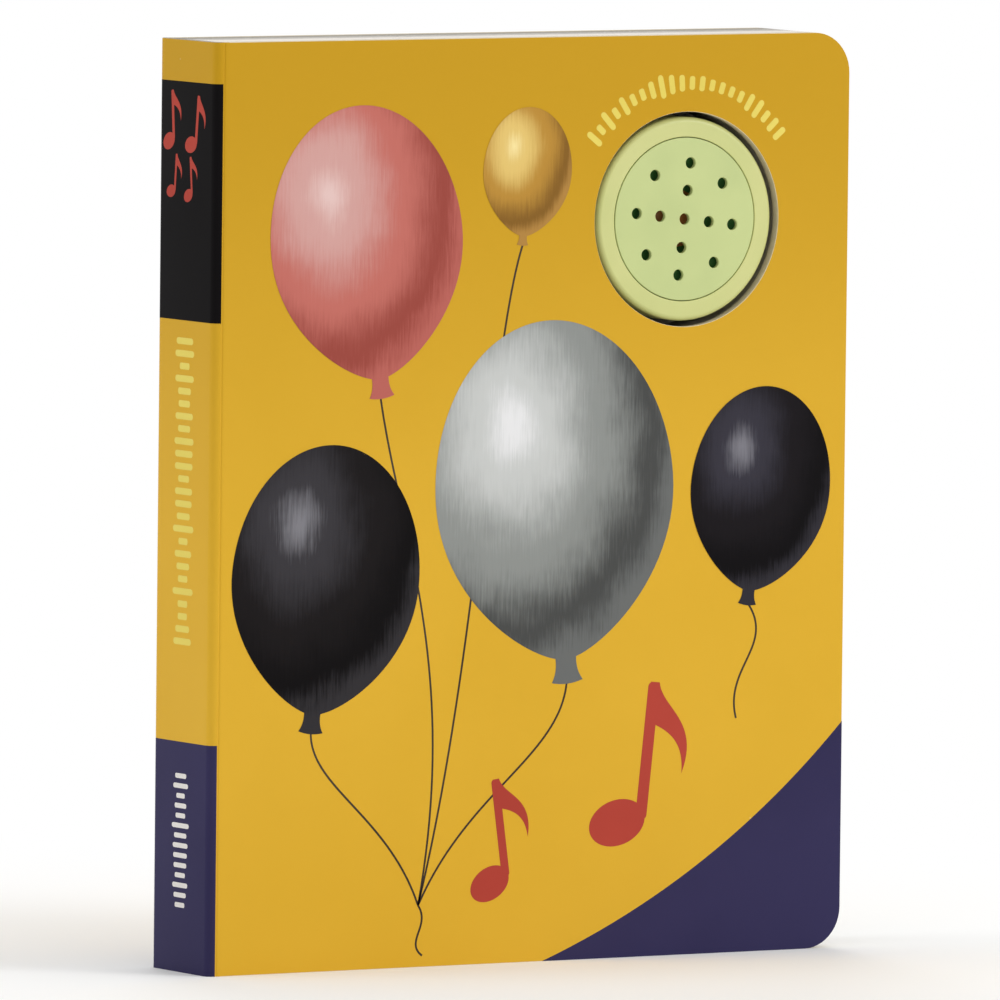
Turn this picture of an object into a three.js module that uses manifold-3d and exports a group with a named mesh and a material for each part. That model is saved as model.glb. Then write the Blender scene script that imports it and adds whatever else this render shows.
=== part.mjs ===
// Press-to-play sound book: a small board book with a round sound module sunk in its pages.
// Millimetres. The book is modelled lying on its back cover: x runs from the spine to the
// fore edge, y runs up the page and z is the height above the back cover's outer face.
// The last lines stand it up on its bottom edge, with the front cover towards -Y.

import * as THREE from 'three';
import { mergeVertices } from 'three/addons/utils/BufferGeometryUtils.js';
import Module from 'manifold-3d';

const wasm = await Module();
wasm.setup();

// Book
const BOOK_WIDTH = 143.5;
const BOOK_HEIGHT = 180;
const BOOK_DEPTH = 22;
const CORNER_RADIUS = 8;
const INK = 0.1;
const FRONT_BOARD = 2;
const BACK_BOARD = 2;
const BACKING_BOARD = 5;
const SPINE_BOARD = 1.6;
const FOLD_RADIUS = 1.6;
const CREASE_GAP = 0.3;
const PAGE_PLAY = 0.2;
const LEAF_COUNT = 7;
const LEAF_GAP = 0.25;
const LEAF_GROOVE = 1.2;

// Place of the sound module on the page, from the fore edge and the top edge
const MODULE_FROM_EDGE = 37.1;
const MODULE_FROM_TOP = 36;

// Sound module: shells, and how much wider the die-cut holes are all round
const MODULE_RADIUS = 19.9;
const COVER_HOLE_PLAY = 1.1;
const PAGE_HOLE_PLAY = 2.1;
const MODULE_PLAY = 0.4;
const MODULE_RECESS = 0.8;
const SHELL_WALL = 1.6;
const BEZEL_LIP = 1.8;
const BEZEL_ROUND = 0.8;
const SHELL_FLOOR = 1.3;
const SHELL_SPLIT_GAP = 0.1;
const FLANGE_WIDTH = 3.1;
const FLANGE_HEIGHT = 1.8;
const FLANGE_THICKNESS = 1.5;
const POCKET_PLAY = 0.3;

// Sound module: push button
const BEZEL_WIDTH = 3.75;
const BUTTON_SEAM = 0.25;
const BUTTON_PLATE = 1.8;
const BUTTON_EDGE = 0.35;
const BUTTON_SKIRT_WALL = 1.5;
const BUTTON_SKIRT = 3.8;
const BUTTON_STOP_WIDTH = 1.5;
const BUTTON_STOP_THICKNESS = 1;
const BUTTON_STOP_GAP = 0.3;
const BUTTON_TRAVEL = 1.2;
const SOUND_HOLE_RADIUS = 1.1;
const HOLES_FROM_EDGE = 4.9;
const HOLE_RING_STEP = 5.4;
const OUTER_RING_HOLES = 8;
const INNER_RING_HOLES = 4;
const HOLE_PATTERN_TURN = THREE.MathUtils.degToRad(-6.6);

// Sound module: loudspeaker, glued in the button's skirt
const SPEAKER_PLAY = 0.3;
const GASKET_THICKNESS = 0.5;
const GASKET_WIDTH = 1.1;
const CONE_THICKNESS = 0.2;
const CONE_DROP = 1;
const BASKET_WALL = 1;
const BASKET_HEIGHT = 2;
const BASKET_FLOOR = 0.5;
const CONE_WIDTH = 6.5;
const YOKE_WALL = 1.6;
const YOKE_FLOOR = 0.8;
const COIL_GAP = 0.35;
const COIL_THICKNESS = 0.6;
const COIL_CLEARANCE = 0.6;
const DUST_CAP_RISE = 0.6;
const DUST_CAP_THICKNESS = 0.25;
const PILL_RADIUS = 3;
const PILL_GAP = 0.2;
const PILL_SHARE = 0.375;

// Sound module: circuit board and what is soldered on it
const BOARD_THICKNESS = 1;
const BOARD_PLAY = 0.7;
const BOARD_POST_RADIUS = 1.2;
const BOARD_POST_HEIGHT = 0.9;
const BOARD_POST_INSET = 8.6;
const CHIP_RADIUS = 2.3;
const CHIP_HEIGHT = 1.1;
const CAPACITOR_SIZE = [3.2, 1.6, 1.3];
const RESISTOR_SIZE = [2, 1.2, 0.5];
const PARTS_INSET = 4.3;
const SPRING_FROM_YOKE = 2;
const SPRING_WIRE = 0.35;
const SPRING_TURNS = 3;
const SPRING_SEAT = 0.1;
const LEAD_RADIUS = 0.4;
const LEAD_GAP = 0.3;
const LEAD_INSET = 1.9;
const LEAD_SPREAD_DEG = 16;
const LEAD_SLACK = 1.1;

// Sound module: screws
const SCREW_RADIUS = 0.9;
const SCREW_PLAY = 0.2;
const SCREW_HEAD_RADIUS = 1.75;
const SCREW_HEAD_HEIGHT = 1.1;
const SCREW_FROM_WALL = 1.7;
const SCREW_COUNT = 3;
const SCREW_SUNK = 0.3;
const SCREW_BITE = 2.4;
const BOSS_RADIUS = 2.1;
const BOSS_CLEARANCE = 0.7;
const CROSS_WIDTH = 0.5;
const CROSS_LENGTH = 2.2;
const CROSS_DEPTH = 0.6;

// Sound module: batteries
const CELL_RADIUS = 5.8;
const CELL_HEIGHT = 5.4;
const CELL_STEP = 1.9;
const CELL_STEP_HEIGHT = 0.6;
const CELL_COUNT = 3;
const CELL_ORBIT = 7;
const CELL_PLAY = 0.2;
const CONTACT_THICKNESS = 0.25;
const CONTACT_RADIUS = 3.2;
const CONTACT_PLAY = 0.1;
const TAB_WIDTH = 2.2;
const TAB_PLAY = 0.3;

// Sound module: battery door in the back cover
const DOOR_LEDGE = 5.8;
const DOOR_PLAY = 0.5;
const DOOR_SUNK = 0.5;
const DOOR_SCREW_INSET = 2.7;
const DOOR_SCREW_LENGTH = 5.5;
const DOOR_GRIP_WIDTH = 7;
const DOOR_GRIP_INSET = 4.7;
const DOOR_GRIP_DEPTH = 0.5;

// Print on the covers
const BAND_HEIGHT = 44.6;
const CORNER_FIELD_WIDTH = 68.3;
const CORNER_FIELD_BEND = [28.8, 14.8];
const SPINE_PANEL_FROM_TOP = 8;
const SPINE_PANEL_LENGTH = 46;
const KNOT_WIDTH_SHARE = 0.13;
const KNOT_SIZE_SHARE = 0.07;

// Balloons: how far the middle is from the spine and from the top edge, width and height
const GREY_BALLOON = [77, 88, 54, 66];
const BLACK_BALLOON = [25.5, 104, 42, 52];
const CORAL_BALLOON = [34, 39, 43, 53];
const GOLD_BALLOON = [70, 26, 20, 25];
const SMALL_BLACK_BALLOON = [124, 89, 32, 40];

// Music notes: how far the stem's foot is from the spine and above the bottom edge, length
const LARGE_NOTE = [96, 26, 28];
const SMALL_NOTE = [66, 16, 20];

// Smoothness
const ROUND_SEGMENTS = 48;
const INNER_SEGMENTS = 24;
const SMALL_SEGMENTS = 12;
const CORNER_SEGMENTS = 6;
const OUTLINE_SEGMENTS = 9;

// Heights above the back cover's outer face, worked out from the sizes above
const backTop = BACK_BOARD;
const backingTop = backTop + BACKING_BOARD;
const coverFace = BOOK_DEPTH - INK;
const coverBottom = coverFace - FRONT_BOARD;
const pagesBottom = backingTop + PAGE_PLAY;
const pagesTop = coverBottom - PAGE_PLAY;
const leafThickness = (pagesTop - pagesBottom - (LEAF_COUNT - 1) * LEAF_GAP) / LEAF_COUNT;

// Places across the book
const spineFace = -BOOK_WIDTH / 2 + INK;
const spineInner = spineFace + SPINE_BOARD;
const boardStart = spineInner + CREASE_GAP;
const foreEdge = BOOK_WIDTH / 2;
const moduleX = foreEdge - MODULE_FROM_EDGE;
const moduleY = BOOK_HEIGHT - MODULE_FROM_TOP;

// Heights inside the module: the batteries and the board from the back cover up
const flangeBottom = backTop + FLANGE_HEIGHT;
const flangeTop = flangeBottom + FLANGE_THICKNESS;
const cellBottom = backTop + CONTACT_THICKNESS + CONTACT_PLAY;
const cellTop = cellBottom + CELL_HEIGHT;
const pocketFloor = cellTop + CONTACT_PLAY + CONTACT_THICKNESS;
const shellSplit = pocketFloor + SHELL_FLOOR;
const boardBottom = shellSplit + BOARD_POST_HEIGHT;
const boardTop = boardBottom + BOARD_THICKNESS;

// The button and its loudspeaker from the front face down. The pill and the yoke share
// the room that is left between the board and the basket.
const bezelTop = BOOK_DEPTH - MODULE_RECESS;
const lipBottom = bezelTop - BEZEL_LIP;
const plateBottom = bezelTop - BUTTON_PLATE;
const skirtBottom = plateBottom - BUTTON_SKIRT;
const bossTop = skirtBottom - BUTTON_TRAVEL - BOSS_CLEARANCE;
const gasketBottom = plateBottom - GASKET_THICKNESS;
const coneRimBottom = gasketBottom - CONE_THICKNESS;
const coilTop = coneRimBottom - CONE_DROP;
const basketBottom = coneRimBottom - BASKET_HEIGHT;
const yokeTop = basketBottom + BASKET_FLOOR;
const pillBottom = boardTop + PILL_GAP + BUTTON_TRAVEL;
const yokeBottom = pillBottom + PILL_SHARE * (basketBottom - pillBottom);

// Radii inside the module, from its wall inwards
const wallInner = MODULE_RADIUS - SHELL_WALL;
const flangeRadius = MODULE_RADIUS + FLANGE_WIDTH;
const screwOrbit = wallInner - SCREW_FROM_WALL;
const doorRadius = MODULE_RADIUS - DOOR_LEDGE;
const lipRadius = MODULE_RADIUS - BEZEL_WIDTH;
const buttonRadius = lipRadius - BUTTON_SEAM;
const outerHoleRing = buttonRadius - HOLES_FROM_EDGE;
const innerHoleRing = outerHoleRing - HOLE_RING_STEP;
const skirtInner = buttonRadius - BUTTON_SKIRT_WALL;
const speakerRadius = skirtInner - SPEAKER_PLAY;
const yokeRadius = speakerRadius - CONE_WIDTH;
const coilOuter = yokeRadius - YOKE_WALL - COIL_GAP;
const coilInner = coilOuter - COIL_THICKNESS;
const magnetRadius = coilInner - COIL_GAP;
const springRadius = yokeRadius + SPRING_FROM_YOKE;
const leadOrbit = speakerRadius - LEAD_INSET;
const boardRadius = wallInner - BOARD_PLAY;
const partsOrbit = boardRadius - PARTS_INSET;
const postOrbit = boardRadius - BOARD_POST_INSET;
const pocketRadius = CELL_RADIUS + CELL_PLAY;

// Solids

function solidOf(geometry) {
  const bare = geometry.clone();
  bare.deleteAttribute('normal');
  bare.deleteAttribute('uv');
  const merged = mergeVertices(bare, 1e-4);
  const corners = merged.index.array;
  const triangles = [];
  for (let i = 0; i < corners.length; i += 3) {
    const [a, b, c] = corners.slice(i, i + 3);
    if (a !== b && b !== c && c !== a) triangles.push(a, b, c);
  }
  const mesh = new wasm.Mesh({
    numProp: 3,
    vertProperties: new Float32Array(merged.attributes.position.array),
    triVerts: new Uint32Array(triangles),
  });
  return new wasm.Manifold(mesh);
}

function geometryOf(solid) {
  const mesh = solid.getMesh();
  const geometry = new THREE.BufferGeometry();
  geometry.setAttribute('position', new THREE.BufferAttribute(mesh.vertProperties, 3));
  geometry.setIndex(new THREE.BufferAttribute(mesh.triVerts, 1));
  geometry.computeVertexNormals();
  return geometry;
}

// A flat piece of the given outline between two heights
function plate(shape, bottom, top, segments = CORNER_SEGMENTS) {
  const options = { depth: top - bottom, bevelEnabled: false, curveSegments: segments };
  return solidOf(new THREE.ExtrudeGeometry(shape, options).translate(0, 0, bottom));
}

// A piece turned about the z axis from a closed profile of [radius, height] points
function turned(profile, segments = ROUND_SEGMENTS) {
  const points = profile.map(([radius, height]) => new THREE.Vector2(radius, height));
  if (THREE.ShapeUtils.isClockWise(points)) points.reverse();
  const lathe = new THREE.LatheGeometry([...points, points[0]], segments);
  return solidOf(lathe.rotateX(Math.PI / 2));
}

function rod(radius, bottom, top, x = 0, y = 0, segments = SMALL_SEGMENTS) {
  const cylinder = new THREE.CylinderGeometry(radius, radius, top - bottom, segments);
  return solidOf(cylinder.rotateX(Math.PI / 2).translate(x, y, (bottom + top) / 2));
}

function block(x0, x1, y0, y1, z0, z1) {
  const box = new THREE.BoxGeometry(x1 - x0, y1 - y0, z1 - z0);
  return solidOf(box.translate((x0 + x1) / 2, (y0 + y1) / 2, (z0 + z1) / 2));
}

function ring(inner, outer, bottom, top, segments = INNER_SEGMENTS) {
  return turned([[inner, bottom], [outer, bottom], [outer, top], [inner, top]], segments);
}

// Points on a circle, evenly spaced from a start angle
function around(count, radius, start = 0) {
  const points = [];
  for (let i = 0; i < count; i += 1) {
    const angle = start + (i * 2 * Math.PI) / count;
    points.push([radius * Math.cos(angle), radius * Math.sin(angle), angle]);
  }
  return points;
}

function finish(colour, roughness, metalness = 0) {
  return new THREE.MeshStandardMaterial({ color: colour, roughness, metalness });
}

function addPiece(group, name, solid, material) {
  const mesh = new THREE.Mesh(geometryOf(solid), material);
  mesh.name = name;
  group.add(mesh);
  return mesh;
}

const printedBoard = finish(0xcda028, 0.35);
const greyBoard = finish(0x8f8570, 0.9);
const pageBoard = finish(0xd9d2c4, 0.8);
const navyPrint = finish(0x373356, 0.35);
const blackPrint = finish(0x1e1c1d, 0.35);
const redPrint = finish(0xb4463a, 0.35);
const moduleShell = finish(0xcdd28c, 0.4);
const buttonPlastic = finish(0xc6ce8d, 0.4);
const rearPlastic = finish(0xd8d6cc, 0.5);
const darkFilm = finish(0x1f4a2e, 0.3);
const copper = finish(0xb06a38, 0.35, 0.9);
const steel = finish(0xb4b6b8, 0.3, 0.9);
const nickel = finish(0xc9c6bb, 0.3, 0.9);
const ferrite = finish(0x3c3c40, 0.7);
const circuitGreen = finish(0x2d6a3d, 0.5);
const blackResin = finish(0x18181a, 0.4);
const rubber = finish(0x2a2a2c, 0.9);

const book = new THREE.Group();
const soundModule = new THREE.Group();
soundModule.position.set(moduleX, moduleY, 0);
book.add(soundModule);

// Boards and leaves

// Outline of a board or leaf: square at the spine, rounded at the fore edge
function boardOutline(start, inset = 0) {
  const right = foreEdge - inset;
  const top = BOOK_HEIGHT - inset;
  const radius = CORNER_RADIUS;
  const shape = new THREE.Shape();
  shape.moveTo(start, inset);
  shape.lineTo(right - radius, inset);
  shape.absarc(right - radius, inset + radius, radius, -Math.PI / 2, 0);
  shape.absarc(right - radius, top - radius, radius, 0, Math.PI / 2);
  shape.lineTo(start, top);
  shape.closePath();
  return shape;
}

// The round hole that a board has where the module sits
function moduleHole(radius, bottom, top) {
  return rod(radius, bottom - 1, top + 1, moduleX, moduleY, ROUND_SEGMENTS);
}

// The leaves are glued to each other at the spine and pressed tight, with a fine line
// between each two on the three free edges
function pageBlock() {
  const inner = plate(boardOutline(spineInner, LEAF_GROOVE), pagesBottom, pagesTop);
  const leaves = [inner];
  for (let i = 0; i < LEAF_COUNT; i += 1) {
    const bottom = pagesBottom + i * (leafThickness + LEAF_GAP);
    leaves.push(plate(boardOutline(spineInner), bottom, bottom + leafThickness));
  }
  const hole = moduleHole(MODULE_RADIUS + PAGE_HOLE_PLAY, pagesBottom, pagesTop);
  return wasm.Manifold.union(leaves).subtract(hole);
}

// The spine is the part of the cover between its two folds
function spine() {
  const shape = new THREE.Shape();
  shape.moveTo(spineInner, 0);
  shape.lineTo(spineInner, coverFace);
  shape.lineTo(spineFace + FOLD_RADIUS, coverFace);
  shape.absarc(spineFace + FOLD_RADIUS, coverFace - FOLD_RADIUS, FOLD_RADIUS, Math.PI / 2, Math.PI);
  shape.absarc(spineFace + FOLD_RADIUS, FOLD_RADIUS, FOLD_RADIUS, Math.PI, 1.5 * Math.PI);
  shape.closePath();
  const options = { depth: BOOK_HEIGHT, bevelEnabled: false, curveSegments: CORNER_SEGMENTS };
  const bar = new THREE.ExtrudeGeometry(shape, options);
  return solidOf(bar.rotateX(Math.PI / 2).translate(0, BOOK_HEIGHT, 0));
}

function frontCover() {
  const hole = moduleHole(MODULE_RADIUS + COVER_HOLE_PLAY, coverBottom, coverFace);
  return plate(boardOutline(boardStart), coverBottom, coverFace).subtract(hole);
}

function backCover() {
  const hole = moduleHole(doorRadius + DOOR_PLAY, 0, backTop);
  return plate(boardOutline(boardStart), 0, backTop).subtract(hole);
}

// The thick board under the back cover has a stepped hole that traps the module's flange
function backingBoard() {
  const board = plate(boardOutline(boardStart), backTop, backingTop);
  const throat = moduleHole(MODULE_RADIUS + MODULE_PLAY, backTop, backingTop);
  const stepTop = flangeTop + POCKET_PLAY;
  const stepRadius = flangeRadius + MODULE_PLAY;
  const step = rod(stepRadius, backTop - 1, stepTop, moduleX, moduleY, ROUND_SEGMENTS);
  return board.subtract(throat).subtract(step);
}

addPiece(book, 'page_block', pageBlock(), pageBoard);
addPiece(book, 'spine', spine(), printedBoard);
addPiece(book, 'front_cover', frontCover(), printedBoard);
addPiece(book, 'back_cover', backCover(), printedBoard);
addPiece(book, 'backing_board', backingBoard(), greyBoard);

// Print on the front cover and the spine, as thin fields of one colour each

// The dark corner of the front cover, under a curved edge
function cornerField() {
  const start = foreEdge - CORNER_FIELD_WIDTH;
  const [bendX, bendY] = CORNER_FIELD_BEND;
  const shape = new THREE.Shape();
  shape.moveTo(start, 0);
  shape.lineTo(foreEdge - CORNER_RADIUS, 0);
  shape.absarc(foreEdge - CORNER_RADIUS, CORNER_RADIUS, CORNER_RADIUS, -Math.PI / 2, 0);
  shape.lineTo(foreEdge, BAND_HEIGHT);
  shape.quadraticCurveTo(foreEdge - bendX, bendY, start, 0);
  return plate(shape, coverFace, BOOK_DEPTH);
}

// A toy balloon about its own middle: a round top, sides that draw in, and a knot
function balloon(width, height) {
  const across = width / 2;
  const up = height / 2;
  const neck = (KNOT_WIDTH_SHARE * width) / 3;
  const knot = (KNOT_WIDTH_SHARE * width) / 2;
  const knotTop = -up;
  const knotBottom = -up - KNOT_SIZE_SHARE * height;
  const shape = new THREE.Shape();
  shape.moveTo(across, 0);
  shape.absellipse(0, 0, across, up, 0, Math.PI);
  shape.bezierCurveTo(-across, -0.55 * up, -0.4 * across, -0.93 * up, -neck, knotTop);
  shape.lineTo(-knot, knotBottom);
  shape.lineTo(knot, knotBottom);
  shape.lineTo(neck, knotTop);
  shape.bezierCurveTo(0.4 * across, -0.93 * up, across, -0.55 * up, across, 0);
  return plate(shape, coverFace, BOOK_DEPTH, OUTLINE_SEGMENTS);
}

// A music note about the foot of its stem: an oval head, a stem and a curled flag
function note(size) {
  const stem = 0.09 * size;
  const head = new THREE.Shape();
  head.absellipse(-0.16 * size, 0, 0.23 * size, 0.16 * size, 0, 2 * Math.PI, false, 0.35);
  const flag = new THREE.Shape();
  flag.moveTo(0, size);
  flag.lineTo(stem, size);
  flag.bezierCurveTo(1.4 * stem, 0.82 * size, 0.46 * size, 0.76 * size, 0.34 * size, 0.38 * size);
  flag.bezierCurveTo(0.34 * size, 0.6 * size, 0.2 * size, 0.68 * size, 0, 0.72 * size);
  const parts = [
    plate(head, coverFace, BOOK_DEPTH, 2 * OUTLINE_SEGMENTS),
    plate(flag, coverFace, BOOK_DEPTH),
    block(0, stem, 0, size, coverFace, BOOK_DEPTH),
  ];
  return wasm.Manifold.union(parts);
}

// A field on the flat of the spine, between the two folds
function spineField(bottom, top) {
  const left = -BOOK_WIDTH / 2;
  return block(left, spineFace, bottom, top, FOLD_RADIUS, coverFace - FOLD_RADIUS);
}

function addPrint(name, solid, colour, across, up, lean) {
  const mesh = addPiece(book, name, solid, finish(colour, 0.35));
  mesh.position.set(across - BOOK_WIDTH / 2, up, 0);
  mesh.rotation.z = THREE.MathUtils.degToRad(lean);
}

addPiece(book, 'print_navy_corner', cornerField(), navyPrint);
addPiece(book, 'print_navy_spine', spineField(0, BAND_HEIGHT), navyPrint);
const panelTop = BOOK_HEIGHT - SPINE_PANEL_FROM_TOP;
const panel = spineField(panelTop - SPINE_PANEL_LENGTH, panelTop);
addPiece(book, 'print_black_spine', panel, blackPrint);

const balloons = [
  { name: 'grey', place: GREY_BALLOON, lean: 5, colour: 0xa9aba8 },
  { name: 'black', place: BLACK_BALLOON, lean: -6, colour: 0x1e1c1d },
  { name: 'coral', place: CORAL_BALLOON, lean: 7, colour: 0xc9837a },
  { name: 'gold', place: GOLD_BALLOON, lean: -4, colour: 0xd9ae52 },
  { name: 'small_black', place: SMALL_BLACK_BALLOON, lean: -7, colour: 0x26222a },
];
for (const { name, place, lean, colour } of balloons) {
  const [across, down, width, height] = place;
  const solid = balloon(width, height);
  addPrint(`print_${name}_balloon`, solid, colour, across, BOOK_HEIGHT - down, lean);
}
const [largeAcross, largeUp, largeSize] = LARGE_NOTE;
addPrint('print_large_note', note(largeSize), 0xb4463a, largeAcross, largeUp, -6);
const [smallAcross, smallUp, smallSize] = SMALL_NOTE;
addPrint('print_small_note', note(smallSize), 0xb4463a, smallAcross, smallUp, 8);

// Sound module: shells

const screwPlaces = around(SCREW_COUNT, screwOrbit, Math.PI / 2);
const cellPlaces = around(CELL_COUNT, CELL_ORBIT, -Math.PI / 2);
const doorScrew = [0, doorRadius - DOOR_SCREW_INSET];
const slotRadius = CELL_ORBIT + pocketRadius + TAB_PLAY + CONTACT_THICKNESS / 2;

// The front shell is a cup with a round window, and its bosses take the screws
function bezel() {
  const bottom = shellSplit + SHELL_SPLIT_GAP;
  const cosine = Math.SQRT1_2 * BEZEL_ROUND;
  const shell = turned([
    [wallInner, bottom],
    [MODULE_RADIUS, bottom],
    [MODULE_RADIUS, bezelTop - BEZEL_ROUND],
    [MODULE_RADIUS - BEZEL_ROUND + cosine, bezelTop - BEZEL_ROUND + cosine],
    [MODULE_RADIUS - BEZEL_ROUND, bezelTop],
    [lipRadius, bezelTop],
    [lipRadius, lipBottom],
    [wallInner, lipBottom],
  ]);
  const bosses = screwPlaces.map(([x, y]) => rod(BOSS_RADIUS, bottom, bossTop, x, y));
  const trim = rod(MODULE_RADIUS - SHELL_WALL / 2, bottom - 1, bezelTop, 0, 0, ROUND_SEGMENTS);
  const tip = shellSplit + SCREW_BITE + SCREW_PLAY;
  const holes = screwPlaces.map(([x, y]) => rod(SCREW_RADIUS + SCREW_PLAY, bottom - 1, tip, x, y));
  const added = wasm.Manifold.union(bosses).intersect(trim);
  return shell.add(added).subtract(wasm.Manifold.union(holes));
}

// A pocket or slot between two battery contacts, wide enough for the strip between them
function channel(a, b, width, bottom, top) {
  const length = Math.hypot(b[0] - a[0], b[1] - a[1]);
  const bar = new THREE.BoxGeometry(length, width, top - bottom);
  bar.rotateZ(Math.atan2(b[1] - a[1], b[0] - a[0]));
  bar.translate((a[0] + b[0]) / 2, (a[1] + b[1]) / 2, (bottom + top) / 2);
  return solidOf(bar);
}

// The slot in the rear shell for the tab that rises from a contact to the circuit board
function tabSlot([, , angle], bottom) {
  const half = CONTACT_THICKNESS / 2 + TAB_PLAY;
  const wide = TAB_WIDTH / 2 + TAB_PLAY;
  const slot = new THREE.BoxGeometry(2 * half, 2 * wide, shellSplit + 1 - bottom);
  slot.translate(slotRadius, 0, (bottom + shellSplit + 1) / 2).rotateZ(angle);
  return solidOf(slot);
}

// The rear shell is a puck with pockets for the cells, a flange and posts for the board
function rearShell() {
  const puck = turned([
    [0, backTop],
    [MODULE_RADIUS, backTop],
    [MODULE_RADIUS, flangeBottom],
    [flangeRadius, flangeBottom],
    [flangeRadius, flangeTop],
    [MODULE_RADIUS, flangeTop],
    [MODULE_RADIUS, shellSplit],
    [0, shellSplit],
  ]);
  const posts = around(3, postOrbit, Math.PI / 2)
    .map(([x, y]) => rod(BOARD_POST_RADIUS, shellSplit - 1, boardBottom, x, y));
  const stripWidth = 2 * (CONTACT_RADIUS + TAB_PLAY);
  const [first, second, third] = cellPlaces;
  const low = backTop - 1;
  const clear = CONTACT_THICKNESS + CONTACT_PLAY;
  const headTop = backTop + SCREW_SUNK + SCREW_HEAD_HEIGHT + SCREW_PLAY;
  const cuts = [
    ...cellPlaces.map(([x, y]) => rod(pocketRadius, low, pocketFloor, x, y, INNER_SEGMENTS)),
    channel(first, second, stripWidth, low, backTop + clear),
    channel(second, third, stripWidth, pocketFloor - clear, pocketFloor),
    tabSlot(first, pocketFloor - clear),
    tabSlot(third, low),
    ...[first, third].map((place) => {
      const [x, y] = [Math.cos(place[2]) * slotRadius, Math.sin(place[2]) * slotRadius];
      const bottom = place === first ? pocketFloor - clear : low;
      const top = place === first ? pocketFloor : backTop + clear;
      return channel(place, [x, y], TAB_WIDTH + 2 * TAB_PLAY, bottom, top);
    }),
    ...screwPlaces.map(([x, y]) => rod(SCREW_RADIUS + SCREW_PLAY, low, shellSplit + 1, x, y)),
    ...screwPlaces.map(([x, y]) => rod(SCREW_HEAD_RADIUS + SCREW_PLAY, low, headTop, x, y)),
    rod(SCREW_RADIUS + SCREW_PLAY, low, doorScrewTip() + SCREW_PLAY, ...doorScrew),
  ];
  return puck.add(wasm.Manifold.union(posts)).subtract(wasm.Manifold.union(cuts));
}

// A pan-head screw with a cross recess, head down, from the head's outer face upwards
function screw(bottom, length) {
  const shank = rod(SCREW_RADIUS, bottom + SCREW_HEAD_HEIGHT / 2, bottom + length);
  const head = rod(SCREW_HEAD_RADIUS, bottom, bottom + SCREW_HEAD_HEIGHT);
  const half = CROSS_WIDTH / 2;
  const reach = CROSS_LENGTH / 2;
  const slot = block(-reach, reach, -half, half, bottom - 1, bottom + CROSS_DEPTH);
  const cross = slot.add(block(-half, half, -reach, reach, bottom - 1, bottom + CROSS_DEPTH));
  return head.add(shank).subtract(cross);
}

function doorScrewTip() {
  return DOOR_SUNK + SCREW_SUNK + DOOR_SCREW_LENGTH;
}

// The battery door closes the round hole in the back cover and has a sunk thumb grip
function batteryDoor() {
  const [x, y] = doorScrew;
  const grip = new THREE.Shape();
  grip.absarc(0, DOOR_GRIP_INSET - doorRadius, DOOR_GRIP_WIDTH / 2, 0, 2 * Math.PI);
  const headTop = DOOR_SUNK + SCREW_SUNK + SCREW_HEAD_HEIGHT;
  return rod(doorRadius, DOOR_SUNK, backTop, 0, 0, ROUND_SEGMENTS)
    .subtract(rod(SCREW_RADIUS + SCREW_PLAY, 0, backTop + 1, x, y))
    .subtract(rod(SCREW_HEAD_RADIUS + SCREW_PLAY, 0, headTop, x, y))
    .subtract(plate(grip, 0, DOOR_SUNK + DOOR_GRIP_DEPTH, 2 * OUTLINE_SEGMENTS));
}

addPiece(soundModule, 'module_bezel', bezel(), moduleShell);
addPiece(soundModule, 'module_rear_shell', rearShell(), rearPlastic);
addPiece(soundModule, 'battery_door', batteryDoor(), rearPlastic);
const doorScrewSolid = screw(DOOR_SUNK + SCREW_SUNK, DOOR_SCREW_LENGTH);
addPiece(soundModule, 'battery_door_screw', doorScrewSolid, steel).position.set(...doorScrew, 0);
const headFace = backTop + SCREW_SUNK;
for (const [i, [x, y]] of screwPlaces.entries()) {
  const solid = screw(headFace, shellSplit + SCREW_BITE - headFace);
  addPiece(soundModule, `housing_screw_${i + 1}`, solid, steel).position.set(x, y, 0);
}

// Batteries and their contacts

function buttonCell() {
  const rim = CELL_RADIUS - CELL_STEP;
  return turned([
    [0, cellBottom],
    [CELL_RADIUS, cellBottom],
    [CELL_RADIUS, cellTop - CELL_STEP_HEIGHT],
    [rim, cellTop - CELL_STEP_HEIGHT],
    [rim, cellTop],
    [0, cellTop],
  ], INNER_SEGMENTS);
}

// A flat strip with round ends that joins two cells
function bridge(a, b, bottom) {
  const top = bottom + CONTACT_THICKNESS;
  const ends = [a, b].map(([x, y]) => rod(CONTACT_RADIUS, bottom, top, x, y));
  return wasm.Manifold.union([...ends, channel(a, b, CONTACT_RADIUS, bottom, top)]);
}

// A contact with a tab that stands up beside its cell and reaches the circuit board
function tabContact([x, y, angle], bottom) {
  const top = bottom + CONTACT_THICKNESS;
  const half = CONTACT_THICKNESS / 2;
  const wide = TAB_WIDTH / 2;
  const reach = slotRadius + half;
  const arm = new THREE.BoxGeometry(reach - CELL_ORBIT, TAB_WIDTH, CONTACT_THICKNESS);
  arm.translate((CELL_ORBIT + reach) / 2, 0, (bottom + top) / 2).rotateZ(angle);
  const rise = boardBottom - TAB_PLAY - bottom;
  const tab = new THREE.BoxGeometry(CONTACT_THICKNESS, 2 * wide, rise);
  tab.translate(slotRadius, 0, bottom + rise / 2).rotateZ(angle);
  return wasm.Manifold.union([rod(CONTACT_RADIUS, bottom, top, x, y), solidOf(arm), solidOf(tab)]);
}

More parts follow.
